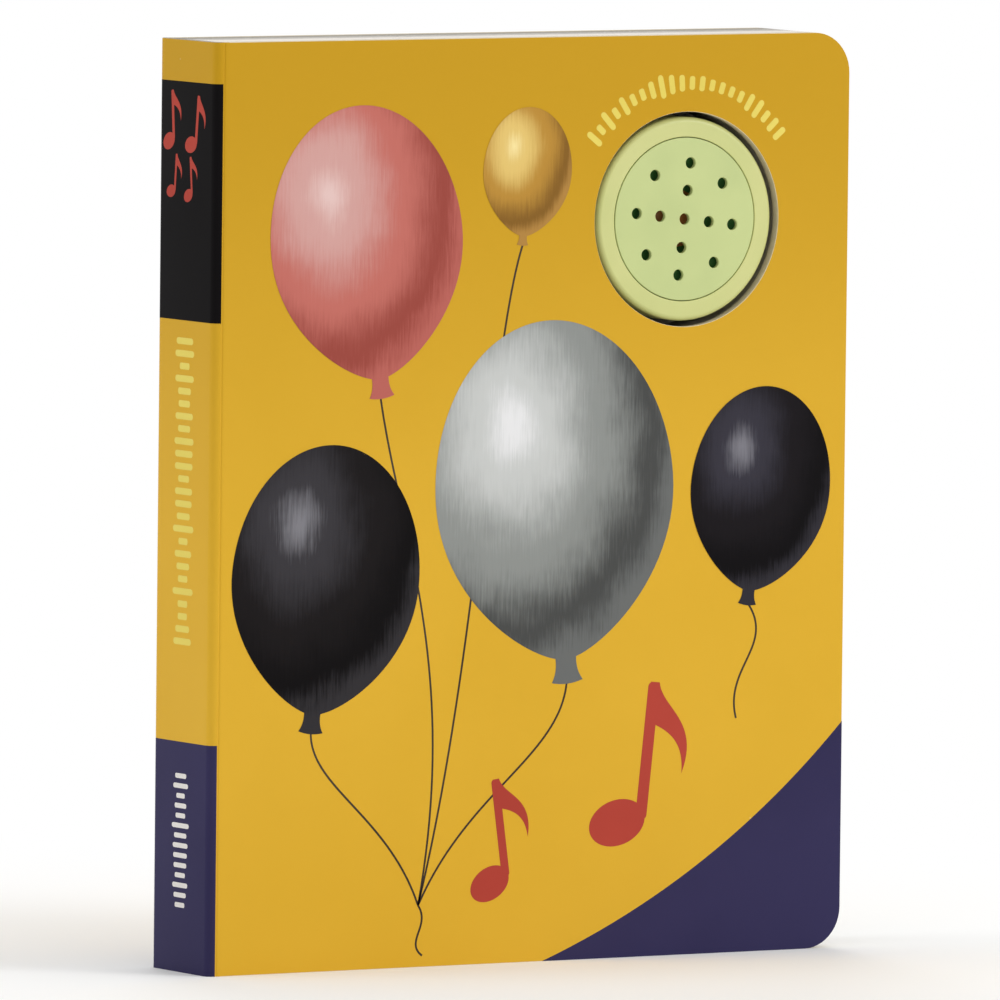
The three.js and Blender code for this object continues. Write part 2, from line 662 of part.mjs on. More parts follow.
for (const [i, [x, y]] of cellPlaces.entries()) {
  addPiece(soundModule, `button_cell_${i + 1}`, buttonCell(), steel).position.set(x, y, 0);
}
const [firstCell, secondCell, thirdCell] = cellPlaces;
const upperContact = cellTop + CONTACT_PLAY;
addPiece(soundModule, 'contact_minus', tabContact(firstCell, upperContact), nickel);
addPiece(soundModule, 'contact_bridge_front', bridge(secondCell, thirdCell, upperContact), nickel);
addPiece(soundModule, 'contact_bridge_rear', bridge(firstCell, secondCell, backTop), nickel);
addPiece(soundModule, 'contact_plus', tabContact(thirdCell, backTop), nickel);

// Circuit board and its parts

// The board has notches where the shell's bosses pass
function circuitBoard() {
  const disc = rod(boardRadius, boardBottom, boardTop, 0, 0, INNER_SEGMENTS);
  const notch = BOSS_RADIUS + BOARD_PLAY;
  const cuts = screwPlaces.map(([x, y]) => rod(notch, boardBottom - 1, boardTop + 1, x, y));
  return disc.subtract(wasm.Manifold.union(cuts));
}

// A drop of black resin over the sound chip
function chipDrop() {
  return turned([
    [0, boardTop],
    [CHIP_RADIUS, boardTop],
    [0.85 * CHIP_RADIUS, boardTop + 0.6 * CHIP_HEIGHT],
    [0.5 * CHIP_RADIUS, boardTop + 0.93 * CHIP_HEIGHT],
    [0, boardTop + CHIP_HEIGHT],
  ], SMALL_SEGMENTS);
}

function soldered([length, width, height]) {
  return block(-length / 2, length / 2, -width / 2, width / 2, boardTop, boardTop + height);
}

// Return spring: a coil between the board and the loudspeaker, its end turns laid flat
class SpringCurve extends THREE.Curve {
  getPoint(t) {
    const flat = 0.5 / SPRING_TURNS;
    const share = THREE.MathUtils.clamp((t - flat) / (1 - 2 * flat), 0, 1);
    const low = boardTop + SPRING_WIRE + SPRING_SEAT;
    const high = basketBottom - SPRING_WIRE - SPRING_SEAT;
    const angle = t * SPRING_TURNS * 2 * Math.PI;
    const x = springRadius * Math.cos(angle);
    return new THREE.Vector3(x, springRadius * Math.sin(angle), low + share * (high - low));
  }
}

function wire(curve, radius, steps, sides) {
  const section = new THREE.Shape();
  for (const [i, [x, y]] of around(sides, radius).entries()) {
    if (i === 0) section.moveTo(x, y);
    else section.lineTo(x, y);
  }
  const options = { steps, extrudePath: curve, bevelEnabled: false };
  return solidOf(new THREE.ExtrudeGeometry(section, options));
}

// A loudspeaker lead: soldered to the board, it bows outwards and meets the basket
function lead(sign) {
  const angle = Math.PI + sign * THREE.MathUtils.degToRad(LEAD_SPREAD_DEG);
  const low = boardTop + LEAD_GAP;
  const high = basketBottom - LEAD_GAP;
  const at = (radius, height) => {
    return new THREE.Vector3(radius * Math.cos(angle), radius * Math.sin(angle), height);
  };
  const middle = (low + high) / 2;
  const path = [at(leadOrbit, low), at(leadOrbit + LEAD_SLACK, middle), at(leadOrbit, high)];
  return wire(new THREE.CatmullRomCurve3(path), LEAD_RADIUS, 6, 6);
}

addPiece(soundModule, 'circuit_board', circuitBoard(), circuitGreen);
const [chipPlace, capacitorPlace, resistorPlace] = around(3, partsOrbit, -Math.PI / 2);
addPiece(soundModule, 'chip_resin', chipDrop(), blackResin).position.set(...chipPlace.slice(0, 2), 0);
const capacitor = addPiece(soundModule, 'capacitor', soldered(CAPACITOR_SIZE), copper);
capacitor.position.set(capacitorPlace[0], capacitorPlace[1], 0);
const resistor = addPiece(soundModule, 'resistor', soldered(RESISTOR_SIZE), blackResin);
resistor.position.set(resistorPlace[0], resistorPlace[1], 0);
const springSolid = wire(new SpringCurve(), SPRING_WIRE, 16 * SPRING_TURNS, 5);
addPiece(soundModule, 'return_spring', springSolid, steel);
addPiece(soundModule, 'speaker_lead_red', lead(1), redPrint);
addPiece(soundModule, 'speaker_lead_black', lead(-1), blackResin);

// Push button with its loudspeaker

// The button is a cap with sound holes, and a stop ring that the bezel's lip holds back
function pushButton() {
  const stopTop = lipBottom - BUTTON_STOP_GAP;
  const stopBottom = stopTop - BUTTON_STOP_THICKNESS;
  const stopRadius = buttonRadius + BUTTON_STOP_WIDTH;
  const cap = turned([
    [0, plateBottom],
    [skirtInner, plateBottom],
    [skirtInner, skirtBottom],
    [buttonRadius, skirtBottom],
    [buttonRadius, stopBottom],
    [stopRadius, stopBottom],
    [stopRadius, stopTop],
    [buttonRadius, stopTop],
    [buttonRadius, bezelTop - BUTTON_EDGE],
    [buttonRadius - BUTTON_EDGE, bezelTop],
    [0, bezelTop],
  ]);
  const places = [
    [0, 0],
    ...around(INNER_RING_HOLES, innerHoleRing, HOLE_PATTERN_TURN),
    ...around(OUTER_RING_HOLES, outerHoleRing, HOLE_PATTERN_TURN),
  ];
  const drill = (x, y) => rod(SOUND_HOLE_RADIUS, plateBottom - 1, bezelTop + 1, x, y, 10);
  return cap.subtract(wasm.Manifold.union(places.map(([x, y]) => drill(x, y))));
}

// The basket is a shallow steel dish with a round opening for the magnet's yoke
function speakerBasket() {
  const inner = speakerRadius - BASKET_WALL;
  return turned([
    [yokeRadius, basketBottom],
    [speakerRadius, basketBottom],
    [speakerRadius, coneRimBottom],
    [inner, coneRimBottom],
    [inner, basketBottom + BASKET_FLOOR],
    [yokeRadius, basketBottom + BASKET_FLOOR],
  ], INNER_SEGMENTS);
}

function speakerYoke() {
  const inner = yokeRadius - YOKE_WALL;
  return turned([
    [0, yokeBottom],
    [yokeRadius, yokeBottom],
    [yokeRadius, yokeTop],
    [inner, yokeTop],
    [inner, yokeBottom + YOKE_FLOOR],
    [0, yokeBottom + YOKE_FLOOR],
  ], INNER_SEGMENTS);
}

// The film cone hangs between its rim under the gasket and the top of the voice coil
function speakerCone() {
  const rim = speakerRadius - BASKET_WALL - CONE_THICKNESS;
  const thick = CONE_THICKNESS;
  return turned([
    [coilInner, coilTop],
    [coilOuter, coilTop],
    [rim, coneRimBottom],
    [speakerRadius, coneRimBottom],
    [speakerRadius, coneRimBottom + thick],
    [rim, coneRimBottom + thick],
    [coilOuter, coilTop + thick],
    [coilInner, coilTop + thick],
  ], INNER_SEGMENTS);
}

// The dust cap is a shallow dome glued over the hole in the middle of the cone
function dustCap() {
  const bottom = coilTop + CONE_THICKNESS;
  const thick = DUST_CAP_THICKNESS;
  return turned([
    [0, bottom + DUST_CAP_RISE],
    [0.55 * coilOuter, bottom + 0.7 * DUST_CAP_RISE],
    [coilInner, bottom],
    [coilOuter, bottom],
    [0.6 * coilOuter, bottom + 0.7 * DUST_CAP_RISE + thick],
    [0, bottom + DUST_CAP_RISE + thick],
  ], INNER_SEGMENTS);
}

addPiece(soundModule, 'push_button', pushButton(), buttonPlastic);
const gasket = ring(speakerRadius - GASKET_WIDTH, speakerRadius, gasketBottom, plateBottom);
addPiece(soundModule, 'speaker_gasket', gasket, rubber);
addPiece(soundModule, 'speaker_basket', speakerBasket(), steel);
addPiece(soundModule, 'speaker_yoke', speakerYoke(), steel);
const magnet = rod(magnetRadius, yokeBottom + YOKE_FLOOR, yokeTop, 0, 0, INNER_SEGMENTS);
addPiece(soundModule, 'speaker_magnet', magnet, ferrite);
const coil = ring(coilInner, coilOuter, yokeBottom + YOKE_FLOOR + COIL_CLEARANCE, coilTop);
addPiece(soundModule, 'voice_coil', coil, copper);
addPiece(soundModule, 'speaker_cone', speakerCone(), darkFilm);
addPiece(soundModule, 'dust_cap', dustCap(), copper);
const pill = rod(PILL_RADIUS, pillBottom, yokeBottom);
addPiece(soundModule, 'contact_pill', pill, rubber);

// Stand the book on its bottom edge, with the depth centred on the origin
book.rotation.x = Math.PI / 2;
book.position.set(0, BOOK_DEPTH / 2, 0);

const part = new THREE.Group();
part.name = 'sound_book';
part.add(book);

export default part;
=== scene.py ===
"""Press-to-play sound book, standing upright: printed boards round a block of board leaves,
with a round sound module behind a die-cut hole. The sizes below are millimetres."""

import math

import bmesh
import bpy
from mathutils import Matrix, Vector


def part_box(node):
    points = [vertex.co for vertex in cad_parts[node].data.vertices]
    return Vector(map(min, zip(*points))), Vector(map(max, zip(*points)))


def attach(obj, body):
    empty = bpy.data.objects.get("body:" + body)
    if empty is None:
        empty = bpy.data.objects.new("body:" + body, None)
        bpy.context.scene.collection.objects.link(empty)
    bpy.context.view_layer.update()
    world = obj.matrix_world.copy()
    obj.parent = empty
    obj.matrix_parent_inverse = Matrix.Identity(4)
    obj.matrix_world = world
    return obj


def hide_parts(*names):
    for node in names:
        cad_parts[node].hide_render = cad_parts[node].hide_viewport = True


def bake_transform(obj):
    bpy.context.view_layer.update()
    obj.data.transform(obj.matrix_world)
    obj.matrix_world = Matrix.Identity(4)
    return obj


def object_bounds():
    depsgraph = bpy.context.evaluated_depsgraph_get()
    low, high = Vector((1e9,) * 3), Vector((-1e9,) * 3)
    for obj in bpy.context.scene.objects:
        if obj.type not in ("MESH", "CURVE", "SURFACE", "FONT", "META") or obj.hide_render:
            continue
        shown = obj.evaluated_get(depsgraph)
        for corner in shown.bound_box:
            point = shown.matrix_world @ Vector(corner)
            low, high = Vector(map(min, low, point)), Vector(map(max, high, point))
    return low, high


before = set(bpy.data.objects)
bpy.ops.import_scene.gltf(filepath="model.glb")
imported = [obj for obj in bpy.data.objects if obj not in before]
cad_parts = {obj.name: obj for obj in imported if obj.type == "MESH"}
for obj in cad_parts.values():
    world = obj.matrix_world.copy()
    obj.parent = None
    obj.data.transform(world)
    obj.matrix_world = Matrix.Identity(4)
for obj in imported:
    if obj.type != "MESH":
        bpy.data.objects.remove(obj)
cad_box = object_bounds()

MM = 0.001


# Camera
# A long lens to the left of the front cover and a little above the book, rolled by half a
# degree. The photograph is 1000 pixels wide and shows 5.16 of them to a millimetre.
PHOTO_PIXELS = 1000
PIXELS_PER_MM = 5.156
DISTANCE = 3500
AIM = Vector((-7.3, -11.2, 90.3))
AZIMUTH, ELEVATION, ROLL = (math.radians(angle) for angle in (-31.1, 4.1, 0.62))

camera = bpy.data.objects.new("camera", bpy.data.cameras.new("camera"))
bpy.context.scene.collection.objects.link(camera)
bpy.context.scene.camera = camera
camera.data.sensor_width = 36
camera.data.lens = PIXELS_PER_MM * DISTANCE / PHOTO_PIXELS * camera.data.sensor_width
camera.data.clip_start, camera.data.clip_end = 0.1, 100
back = Vector((
    math.sin(AZIMUTH) * math.cos(ELEVATION),
    -math.cos(AZIMUTH) * math.cos(ELEVATION),
    math.sin(ELEVATION),
))
turn = back.to_track_quat("Z", "Y") @ Matrix.Rotation(ROLL, 3, "Z").to_quaternion()
camera.matrix_world = Matrix.Translation((AIM + DISTANCE * back) * MM) @ turn.to_matrix().to_4x4()


# Stage
# A pale floor that keeps the book's shadow and fades to white, under soft studio light. The
# sizes and places in this section are metres.
FLOOR_SIZE = 60
FADE_FROM, FADE_TO = 0.09, 0.26
ROOM_LIGHT = 0.57
BOOK_MIDDLE = Vector((0, 0, 0.09))


def linear(code):
    """An sRGB hex colour as linear red, green, blue and alpha."""
    channels = [int(code[i:i + 2], 16) / 255 for i in (1, 3, 5)]
    return [c / 12.92 if c <= 0.04045 else ((c + 0.055) / 1.055) ** 2.4 for c in channels] + [1]


def add(tree, kind, sockets=None, **settings):
    """Adds a node, with its settings, and a value or a link for each socket named or numbered."""
    node = tree.nodes.new(kind)
    for name, value in settings.items():
        setattr(node, name, value)
    for key, value in (sockets or {}).items():
        if isinstance(value, bpy.types.NodeSocket):
            tree.links.new(value, node.inputs[key])
        else:
            node.inputs[key].default_value = value
    return node


def blank_tree(owner):
    owner.use_nodes = True
    owner.node_tree.nodes.clear()
    return owner.node_tree


def new_material(name):
    """A blank material, its node tree, and the place on the object that its pattern follows."""
    material = bpy.data.materials.new(name)
    tree = blank_tree(material)
    return material, tree, add(tree, "ShaderNodeTexCoord").outputs["Object"]


def seen_directly(tree):
    """One for rays from the camera, off a gloss or through glass, and zero for the others."""
    path = add(tree, "ShaderNodeLightPath")
    gloss = add(tree, "ShaderNodeMath", {
        0: path.outputs["Is Camera Ray"], 1: path.outputs["Is Glossy Ray"],
    }, operation="MAXIMUM")
    return add(tree, "ShaderNodeMath", {
        0: gloss.outputs[0], 1: path.outputs["Is Transmission Ray"],
    }, operation="MAXIMUM").outputs[0]


def floor_material():
    material, tree, place = new_material("painted_studio_floor")
    far = add(tree, "ShaderNodeVectorMath", {0: place}, operation="LENGTH")
    fade = add(tree, "ShaderNodeMapRange", {
        "Value": far.outputs["Value"], "From Min": FADE_FROM, "From Max": FADE_TO,
    }, interpolation_type="SMOOTHSTEP")
    white = add(tree, "ShaderNodeMath", {
        0: fade.outputs[0], 1: seen_directly(tree),
    }, operation="MULTIPLY")
    paint = add(tree, "ShaderNodeBsdfDiffuse", {"Color": linear("#FBFBFA")})
    glow = add(tree, "ShaderNodeEmission", {"Color": linear("#FFFFFF")})
    mixed = add(tree, "ShaderNodeMixShader", {
        0: white.outputs[0], 1: paint.outputs[0], 2: glow.outputs[0],
    })
    add(tree, "ShaderNodeOutputMaterial", {"Surface": mixed.outputs[0]})
    return material


bpy.ops.mesh.primitive_circle_add(vertices=96, radius=FLOOR_SIZE, fill_type="NGON")
floor = bpy.context.object
floor.name = "studio_floor"
floor.data.materials.append(floor_material())

world = bpy.data.worlds.new("studio_room")
bpy.context.scene.world = world
room = blank_tree(world)
lit = add(room, "ShaderNodeBackground", {"Color": linear("#FFFFFF"), "Strength": ROOM_LIGHT})
shown = add(room, "ShaderNodeBackground", {"Color": linear("#FFFFFF"), "Strength": 1})
both = add(room, "ShaderNodeMixShader", {
    0: seen_directly(room), 1: lit.outputs[0], 2: shown.outputs[0],
})
add(room, "ShaderNodeOutputWorld", {"Surface": both.outputs[0]})


def softbox(name, place, size, watts):
    """A round soft lamp that looks at the middle of the book."""
    lamp = bpy.data.lights.new(name, "AREA")
    lamp.shape = "DISK"
    lamp.size = size
    lamp.energy = watts
    box = bpy.data.objects.new(name, lamp)
    box.location = place
    box.rotation_euler = (BOOK_MIDDLE - Vector(place)).to_track_quat("-Z", "Y").to_euler()
    bpy.context.scene.collection.objects.link(box)


softbox("key_softbox", (1.3, -1.45, 0.75), 1.1, 17)
softbox("side_softbox", (-1.6, 0.55, 0.6), 1.0, 5.8)
softbox("back_softbox", (0.7, 1.6, 1.0), 1.1, 9)
softbox("top_softbox", (0.1, -0.1, 1.8), 1.2, 6)

bpy.context.scene.view_settings.view_transform = "Standard"


# Front and back boards
# Grey board, die-cut with a round window, its fore-edge corners rounded. The inside is lined
# with white paper. A plate is drawn flat and then stood up against the front or the spine.
CORNER_RADIUS = 8
WINDOW_RADIUS = 21
DOOR_WINDOW_RADIUS = 14.6
BOARD_EDGE = 0.12
PAPER = 0.25
FACING = 0.9

STAND_FRONT = Matrix(((1, 0, 0, 0), (0, 0, -1, 0), (0, 1, 0, 0), (0, 0, 0, 1)))
STAND_SPINE = Matrix(((0, 0, -1, 0), (-1, 0, 0, 0), (0, 1, 0, 0), (0, 0, 0, 1)))


def span(node):
    """The lowest and highest corners of a CAD node, in millimetres."""
    low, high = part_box(node)
    return low / MM, high / MM


def filleted(corners, steps=12):
    """A closed outline with each corner (x, y, radius) rounded by an arc."""
    points = []
    for i, (x, y, radius) in enumerate(corners):
        here = Vector((x, y))
        before = (Vector(corners[i - 1][:2]) - here).normalized()
        after = (Vector(corners[(i + 1) % len(corners)][:2]) - here).normalized()
        if radius == 0:
            points.append((x, y))
            continue
        half = before.angle(after) / 2
        centre = here + (before + after).normalized() * radius / math.sin(half)
        first = here + before * radius / math.tan(half) - centre
        swing = first.angle_signed(here + after * radius / math.tan(half) - centre)
        for step in range(steps + 1):
            angle = -swing * step / steps
            spoke = Matrix.Rotation(angle, 2) @ first
            points.append(tuple(centre + spoke))
    return points


def circle(radius, centre=(0, 0), steps=96):
    """Points evenly round a circle, from its right-hand side."""
    angles = [2 * math.pi * i / steps for i in range(steps)]
    return [(centre[0] + radius * math.cos(a), centre[1] + radius * math.sin(a)) for a in angles]


def as_mesh(source):
    """The plain mesh that an object's curve or modifiers give."""
    bpy.context.view_layer.update()
    evaluated = source.evaluated_get(bpy.context.evaluated_depsgraph_get())
    return bpy.data.meshes.new_from_object(evaluated)


def smooth_piece(name, mesh, sharp=35):
    """A piece whose rounded edges shade smoothly while its flat faces stay flat."""
    mesh.shade_smooth()
    mesh.set_sharp_from_angle(angle=math.radians(sharp))
    piece = bpy.data.objects.new(name, mesh)
    bpy.context.scene.collection.objects.link(piece)
    flats = piece.modifiers.new("flat_faces", "WEIGHTED_NORMAL")
    flats.weight = 100
    flats.keep_sharp = True
    piece.data = as_mesh(piece)
    piece.modifiers.clear()
    return piece


def stood_up(name, source, stand, out):
    """Turns a flat curve or its node result into a mesh that stands on its face of the book."""
    bpy.context.scene.collection.objects.link(source)
    mesh = as_mesh(source)
    mesh.transform(Matrix.Scale(MM, 4) @ stand @ Matrix.Translation((0, 0, out)))
    bpy.data.objects.remove(source)
    return smooth_piece(name, mesh)


def path_curve(name, lines, closed):
    """One flat curve with a straight-sided path for each line of points."""
    curve = bpy.data.curves.new(name, "CURVE")
    for line in lines:
        spline = curve.splines.new("POLY")
        spline.points.add(len(line) - 1)
        for point, (x, y) in zip(spline.points, line):
            point.co = (x, y, 0, 1)
        spline.use_cyclic_u = closed
    return curve


def plate(name, outline, low, high, holes=(), edge=0.0, stand=STAND_FRONT):
    """A flat piece between two heights above the book's middle, with its edges rounded."""
    curve = path_curve(name, [outline, *(hole[::-1] for hole in holes)], closed=True)
    curve.dimensions = "2D"
    curve.fill_mode = "BOTH"
    curve.extrude = (high - low) / 2 - edge
    curve.bevel_depth = edge
    curve.bevel_resolution = 2
    curve.offset = -edge
    return stood_up(name, bpy.data.objects.new(name, curve), stand, (low + high) / 2)


def finish_faces(piece, edge, front=None, rear=None):
    """The edge material all over, and others on the faces that look forwards or backwards."""
    for material in (edge, front or edge, rear or edge):
        piece.data.materials.append(material)
    for face in piece.data.polygons:
        if abs(face.normal.y) > FACING:
            face.material_index = 1 if face.normal.y < 0 else 2


def fit(piece, body, slot, *nodes):
    """Fixes a piece to its body in place of the nodes that it stands for; the finish it is given is
    not used.
    """
    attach(piece, body)
    if nodes:
        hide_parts(*nodes)


def two_tones(tree, source, low, high):
    """A colour between two, each given with its place on the source's scale."""
    ramp = add(tree, "ShaderNodeValToRGB", {"Fac": source})
    for mark, (at, code) in zip(ramp.color_ramp.elements, (low, high)):
        mark.position = at
        mark.color = linear(code)
    return ramp


def raised(tree, relief, strength, depth):
    """A fine relief that follows a noise, its depth in millimetres."""
    return add(tree, "ShaderNodeBump", {
        "Height": relief.outputs["Fac"], "Strength": strength, "Distance": depth * MM,
    })


def coated(material, sockets):
    """Closes a material with one surface of the given values and links."""
    surface = add(material.node_tree, "ShaderNodeBsdfPrincipled", sockets)
    add(material.node_tree, "ShaderNodeOutputMaterial", {"Surface": surface.outputs[0]})
    return material


def dress(node, material):
    """Gives a CAD node its finish."""
    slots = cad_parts[node].data.materials
    slots.clear()
    slots.append(material)


def cut_board(name, light, dark):
    """Cut board: short fibres pressed in layers, matt and slightly uneven."""
    material, tree, place = new_material(name)
    layers = add(tree, "ShaderNodeMapping", {"Vector": place, "Scale": (1, 7, 1)})
    fibre = add(tree, "ShaderNodeTexNoise", {
        "Vector": layers.outputs[0], "Scale": 1 / (1.4 * MM), "Detail": 5, "Roughness": 0.7,
    })
    tone = two_tones(tree, fibre.outputs["Fac"], (0.3, dark), (0.72, light))
    rise = raised(tree, fibre, 0.5, 0.05)
    return coated(material, {
        "Base Color": tone.outputs[0], "Roughness": 0.9, "Normal": rise.outputs[0],
        "Specular IOR Level": 0.2,
    })


def white_paper(name, light, dark):
    """White or cream paper, plain or coated: nearly even, with a faint cloud of fibre."""
    material, tree, place = new_material(name)
    cloud = add(tree, "ShaderNodeTexNoise", {"Vector": place, "Scale": 1 / (2.5 * MM), "Detail": 6})
    ramp = two_tones(tree, cloud.outputs["Fac"], (0.35, dark), (0.6, light))
    rise = raised(tree, cloud, 0.2, 0.02)
    return coated(material, {
        "Base Color": ramp.outputs[0], "Roughness": 0.65, "Normal": rise.outputs[0],
        "Specular IOR Level": 0.3,
    })


book_low, book_high = cad_box[0] / MM, cad_box[1] / MM
FORE_EDGE, TOP, FACE = book_high.x, book_high.z, -book_low.y
module_low, module_high = span("push_button")
MODULE = ((module_low.x + module_high.x) / 2, (module_low.z + module_high.z) / 2)
board_core = cut_board("cut_cream_board", "#D8CDB2", "#B3A583")
grey_core = cut_board("cut_grey_board", "#A9A398", "#8B857A")
lining = white_paper("white_lining_paper", "#ECE9E1", "#E8E4DB")


def board_outline(start):
    """A cover's outline from the given x, with both corners of its fore-edge rounded."""
    return filleted([
        (start, 0, 0), (FORE_EDGE, 0, CORNER_RADIUS),
        (FORE_EDGE, TOP, CORNER_RADIUS), (start, TOP, 0),
    ])


front_low, front_high = span("front_cover")
front_board = plate(
    "front_board", board_outline(front_low.x), -front_high.y, FACE - PAPER,
    [circle(WINDOW_RADIUS, MODULE)], BOARD_EDGE,
)
finish_faces(front_board, board_core, rear=lining)
fit(front_board, "front_cover", "grey_board", "front_cover")

back_low = span("back_cover")[0]
back_board = plate(
    "back_board", board_outline(back_low.x), PAPER - FACE, -back_low.y,
    [circle(DOOR_WINDOW_RADIUS, MODULE)], BOARD_EDGE,
)
finish_faces(back_board, board_core, front=lining)
fit(back_board, "back_cover", "grey_board", "back_cover")

for name in ("backing_board", "spine"):
    dress(name, grey_core)


# Printed cover
# One sheet of coated paper, printed, film-laminated and glued round the boards. It is creased
# at each fold of the spine, and its cut edge shows as a pale line round the window.
FOLD_RADIUS = 1.6
CREASE_AT = 1.85
CREASE_HALF_WIDTH = 0.32
CREASE_DEPTH = 0.13
SHEET_START = 2.8
SPINE_STEPS, FOLD_STEPS, CREASE_STEPS = 8, 12, 8
FOLD_SHARP = 50
BAND_HEIGHT = 44.6
CUT_ROUND = 0.1
FILM_IOR = 1.2


def laminated(name, colour, shade, top=None, shine=0.3):
    """Offset ink under a thin clear film: even colour with a faint mottle and a few specks of
    dust, a soft reflection, and with a top colour painted shade that blends into it up the cover."""
    material, tree, place = new_material(name)
    mottle = add(tree, "ShaderNodeTexNoise", {"Vector": place, "Scale": 1 / (45 * MM), "Detail": 3})
    ink = two_tones(tree, mottle.outputs["Fac"], (0.38, shade), (0.6, colour))
    tone = ink.outputs[0]
    # Painted shade: up the cover the colour goes over into the top colour, for light that falls off
    # towards the top.
    if top:
        height = add(tree, "ShaderNodeSeparateXYZ", {"Vector": place})
        painted_shade_up_cover = add(tree, "ShaderNodeMapRange", {
            "Value": height.outputs["Z"], "From Min": 0.4 * TOP * MM, "From Max": TOP * MM,
        }, interpolation_type="SMOOTHSTEP")
        tone = add(tree, "ShaderNodeMixRGB", {
            "Fac": painted_shade_up_cover.outputs[0], "Color1": tone, "Color2": linear(top),
        }).outputs[0]
    grid = add(tree, "ShaderNodeTexVoronoi", {"Vector": place, "Scale": 1 / (13 * MM)})
    speck = add(tree, "ShaderNodeMapRange", {
        "Value": grid.outputs["Distance"], "From Min": 0.016, "From Max": 0.01, "To Max": 0.2,
    })
    dusted = add(tree, "ShaderNodeMixRGB", {
        "Fac": speck.outputs[0], "Color1": tone, "Color2": linear("#F2ECDC"),
    })
    wave = add(tree, "ShaderNodeTexNoise", {"Vector": place, "Scale": 1 / (1.6 * MM), "Detail": 4})
    rise = raised(tree, wave, 0.1, 0.03)
    return coated(material, {
        "Base Color": dusted.outputs[0], "Roughness": 0.33, "Normal": rise.outputs[0],
        "Specular IOR Level": shine, "IOR": FILM_IOR,
    })


# The top colour is painted shade: the ochre ground is made darker towards the top of the cover.
ochre = laminated("laminated_ochre_print", "#DDAE33", "#DAAB30", top="#C6981F")
navy = laminated("laminated_navy_print", "#363255", "#322E50", shine=0.2)
paper_edge = white_paper("cut_cover_paper", "#F2E8CC", "#E6DBBB")
SHEET_X = book_low.x + SHEET_START

front_sheet = plate(
    "front_printed_sheet", board_outline(SHEET_X - CUT_ROUND), FACE - PAPER, FACE,
    [circle(WINDOW_RADIUS, MODULE)], CUT_ROUND,
)
finish_faces(front_sheet, paper_edge, front=ochre)
fit(front_sheet, "front_cover", "printed_board")

back_sheet = plate(
    "back_printed_sheet", board_outline(SHEET_X - CUT_ROUND), -FACE, -FACE + PAPER,
    [circle(DOOR_WINDOW_RADIUS, MODULE)], CUT_ROUND,
)
finish_faces(back_sheet, paper_edge, rear=ochre)
fit(back_sheet, "back_cover", "printed_board")


def fold_arc(radius):
    """The quarter turn from the spine to the front face, as (x, out) points."""
    angles = [math.pi - math.pi / 2 * step / FOLD_STEPS for step in range(FOLD_STEPS + 1)]
    x, out = book_low.x + FOLD_RADIUS, FACE - FOLD_RADIUS
    return [(x + radius * math.cos(a), out + radius * math.sin(a)) for a in angles]


def fold_line(inset):
    """Half of the spine's section, from its middle round the fold to the flat sheet, as
    (x, out) points that lie inset below the printed face."""
    arc = fold_arc(FOLD_RADIUS - inset)
    line = [(book_low.x + inset, arc[0][1] * i / SPINE_STEPS) for i in range(SPINE_STEPS)] + arc
    crease = book_low.x + CREASE_AT
    for step in range(CREASE_STEPS + 1):
        share = 2 * step / CREASE_STEPS - 1
        dip = CREASE_DEPTH * math.cos(share * math.pi / 2) ** 2
        line.append((crease + share * CREASE_HALF_WIDTH, FACE - inset - dip))
    line.append((SHEET_X, FACE - inset))
    return line


def folded_piece(name, shape, materials):
    """A piece from the faces of a folded sheet or print."""
    bmesh.ops.recalc_face_normals(shape, faces=shape.faces)
    mesh = bpy.data.meshes.new(name)
    shape.to_mesh(mesh)
    mesh.shade_smooth()
    mesh.set_sharp_from_angle(angle=math.radians(FOLD_SHARP))
    for material in materials:
        mesh.materials.append(material)
    piece = bpy.data.objects.new(name, mesh)
    bpy.context.scene.collection.objects.link(piece)
    return piece


def fold_strip(name, side, levels, inks):
    """The sheet from the middle of the spine round one fold, side 1 in front and -1 behind, in
    one ink between each two levels."""
    strip = bmesh.new()
    rows = []
    for line in (fold_line(0), fold_line(PAPER)[::-1]):
        for x, out in line:
            rows.append([strip.verts.new(Vector((x, -side * out, z)) * MM) for z in levels])
    for here, after in zip(rows, rows[1:] + rows[:1]):
        for level in range(len(inks)):
            face = strip.faces.new((here[level], here[level + 1], after[level + 1], after[level]))
            face.material_index = level
    half = len(rows) // 2
    for level in (0, -1):
        for i in range(half - 1):
            corners = (rows[i], rows[i + 1], rows[-2 - i], rows[-1 - i])
            face = strip.faces.new([corner[level] for corner in corners])
            face.material_index = len(inks)
    return folded_piece(name, strip, (*inks, paper_edge))


front_fold = fold_strip("front_printed_fold", 1, (0, TOP), [ochre])
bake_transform(front_fold)
back_fold = fold_strip("back_printed_fold", -1, (0, BAND_HEIGHT, TOP), [navy, ochre])
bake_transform(back_fold)


# Navy corner, navy band and black panel
# Fields of flat ink under the same film. The band and the panel turn over both folds of the
# spine. The panel stops where the covers' flat faces begin, and the band goes on over the back.
INK = 0.012
CORNER_FIELD_WIDTH = 68.3
CORNER_FIELD_BEND = (28.8, 14.8)
PANEL_BOTTOM, PANEL_TOP = 126, 172


def bezier(points, steps=24):
    """Points along a Bezier curve of any degree, without its last one."""
    line = []
    for step in range(steps):
        level = [Vector(point) for point in points]
        while len(level) > 1:
            level = [a.lerp(b, step / steps) for a, b in zip(level, level[1:])]
        line.append(tuple(level[0]))
    return line


black = laminated("laminated_black_print", "#131112", "#0F0D0E", shine=0.1)

corner_start = FORE_EDGE - CORNER_FIELD_WIDTH
bend = (FORE_EDGE - CORNER_FIELD_BEND[0], CORNER_FIELD_BEND[1])
round_corner = filleted([
    (corner_start, 0, 0), (FORE_EDGE, 0, CORNER_RADIUS), (FORE_EDGE, BAND_HEIGHT, 0),
])
navy_corner = plate(
    "navy_corner_print",
    round_corner[:-1] + bezier([(FORE_EDGE, BAND_HEIGHT), bend, (corner_start, 0)]),
    FACE, FACE + INK,
)
navy_corner.data.materials.append(navy)
fit(navy_corner, "front_cover", "navy_print", "print_navy_corner")


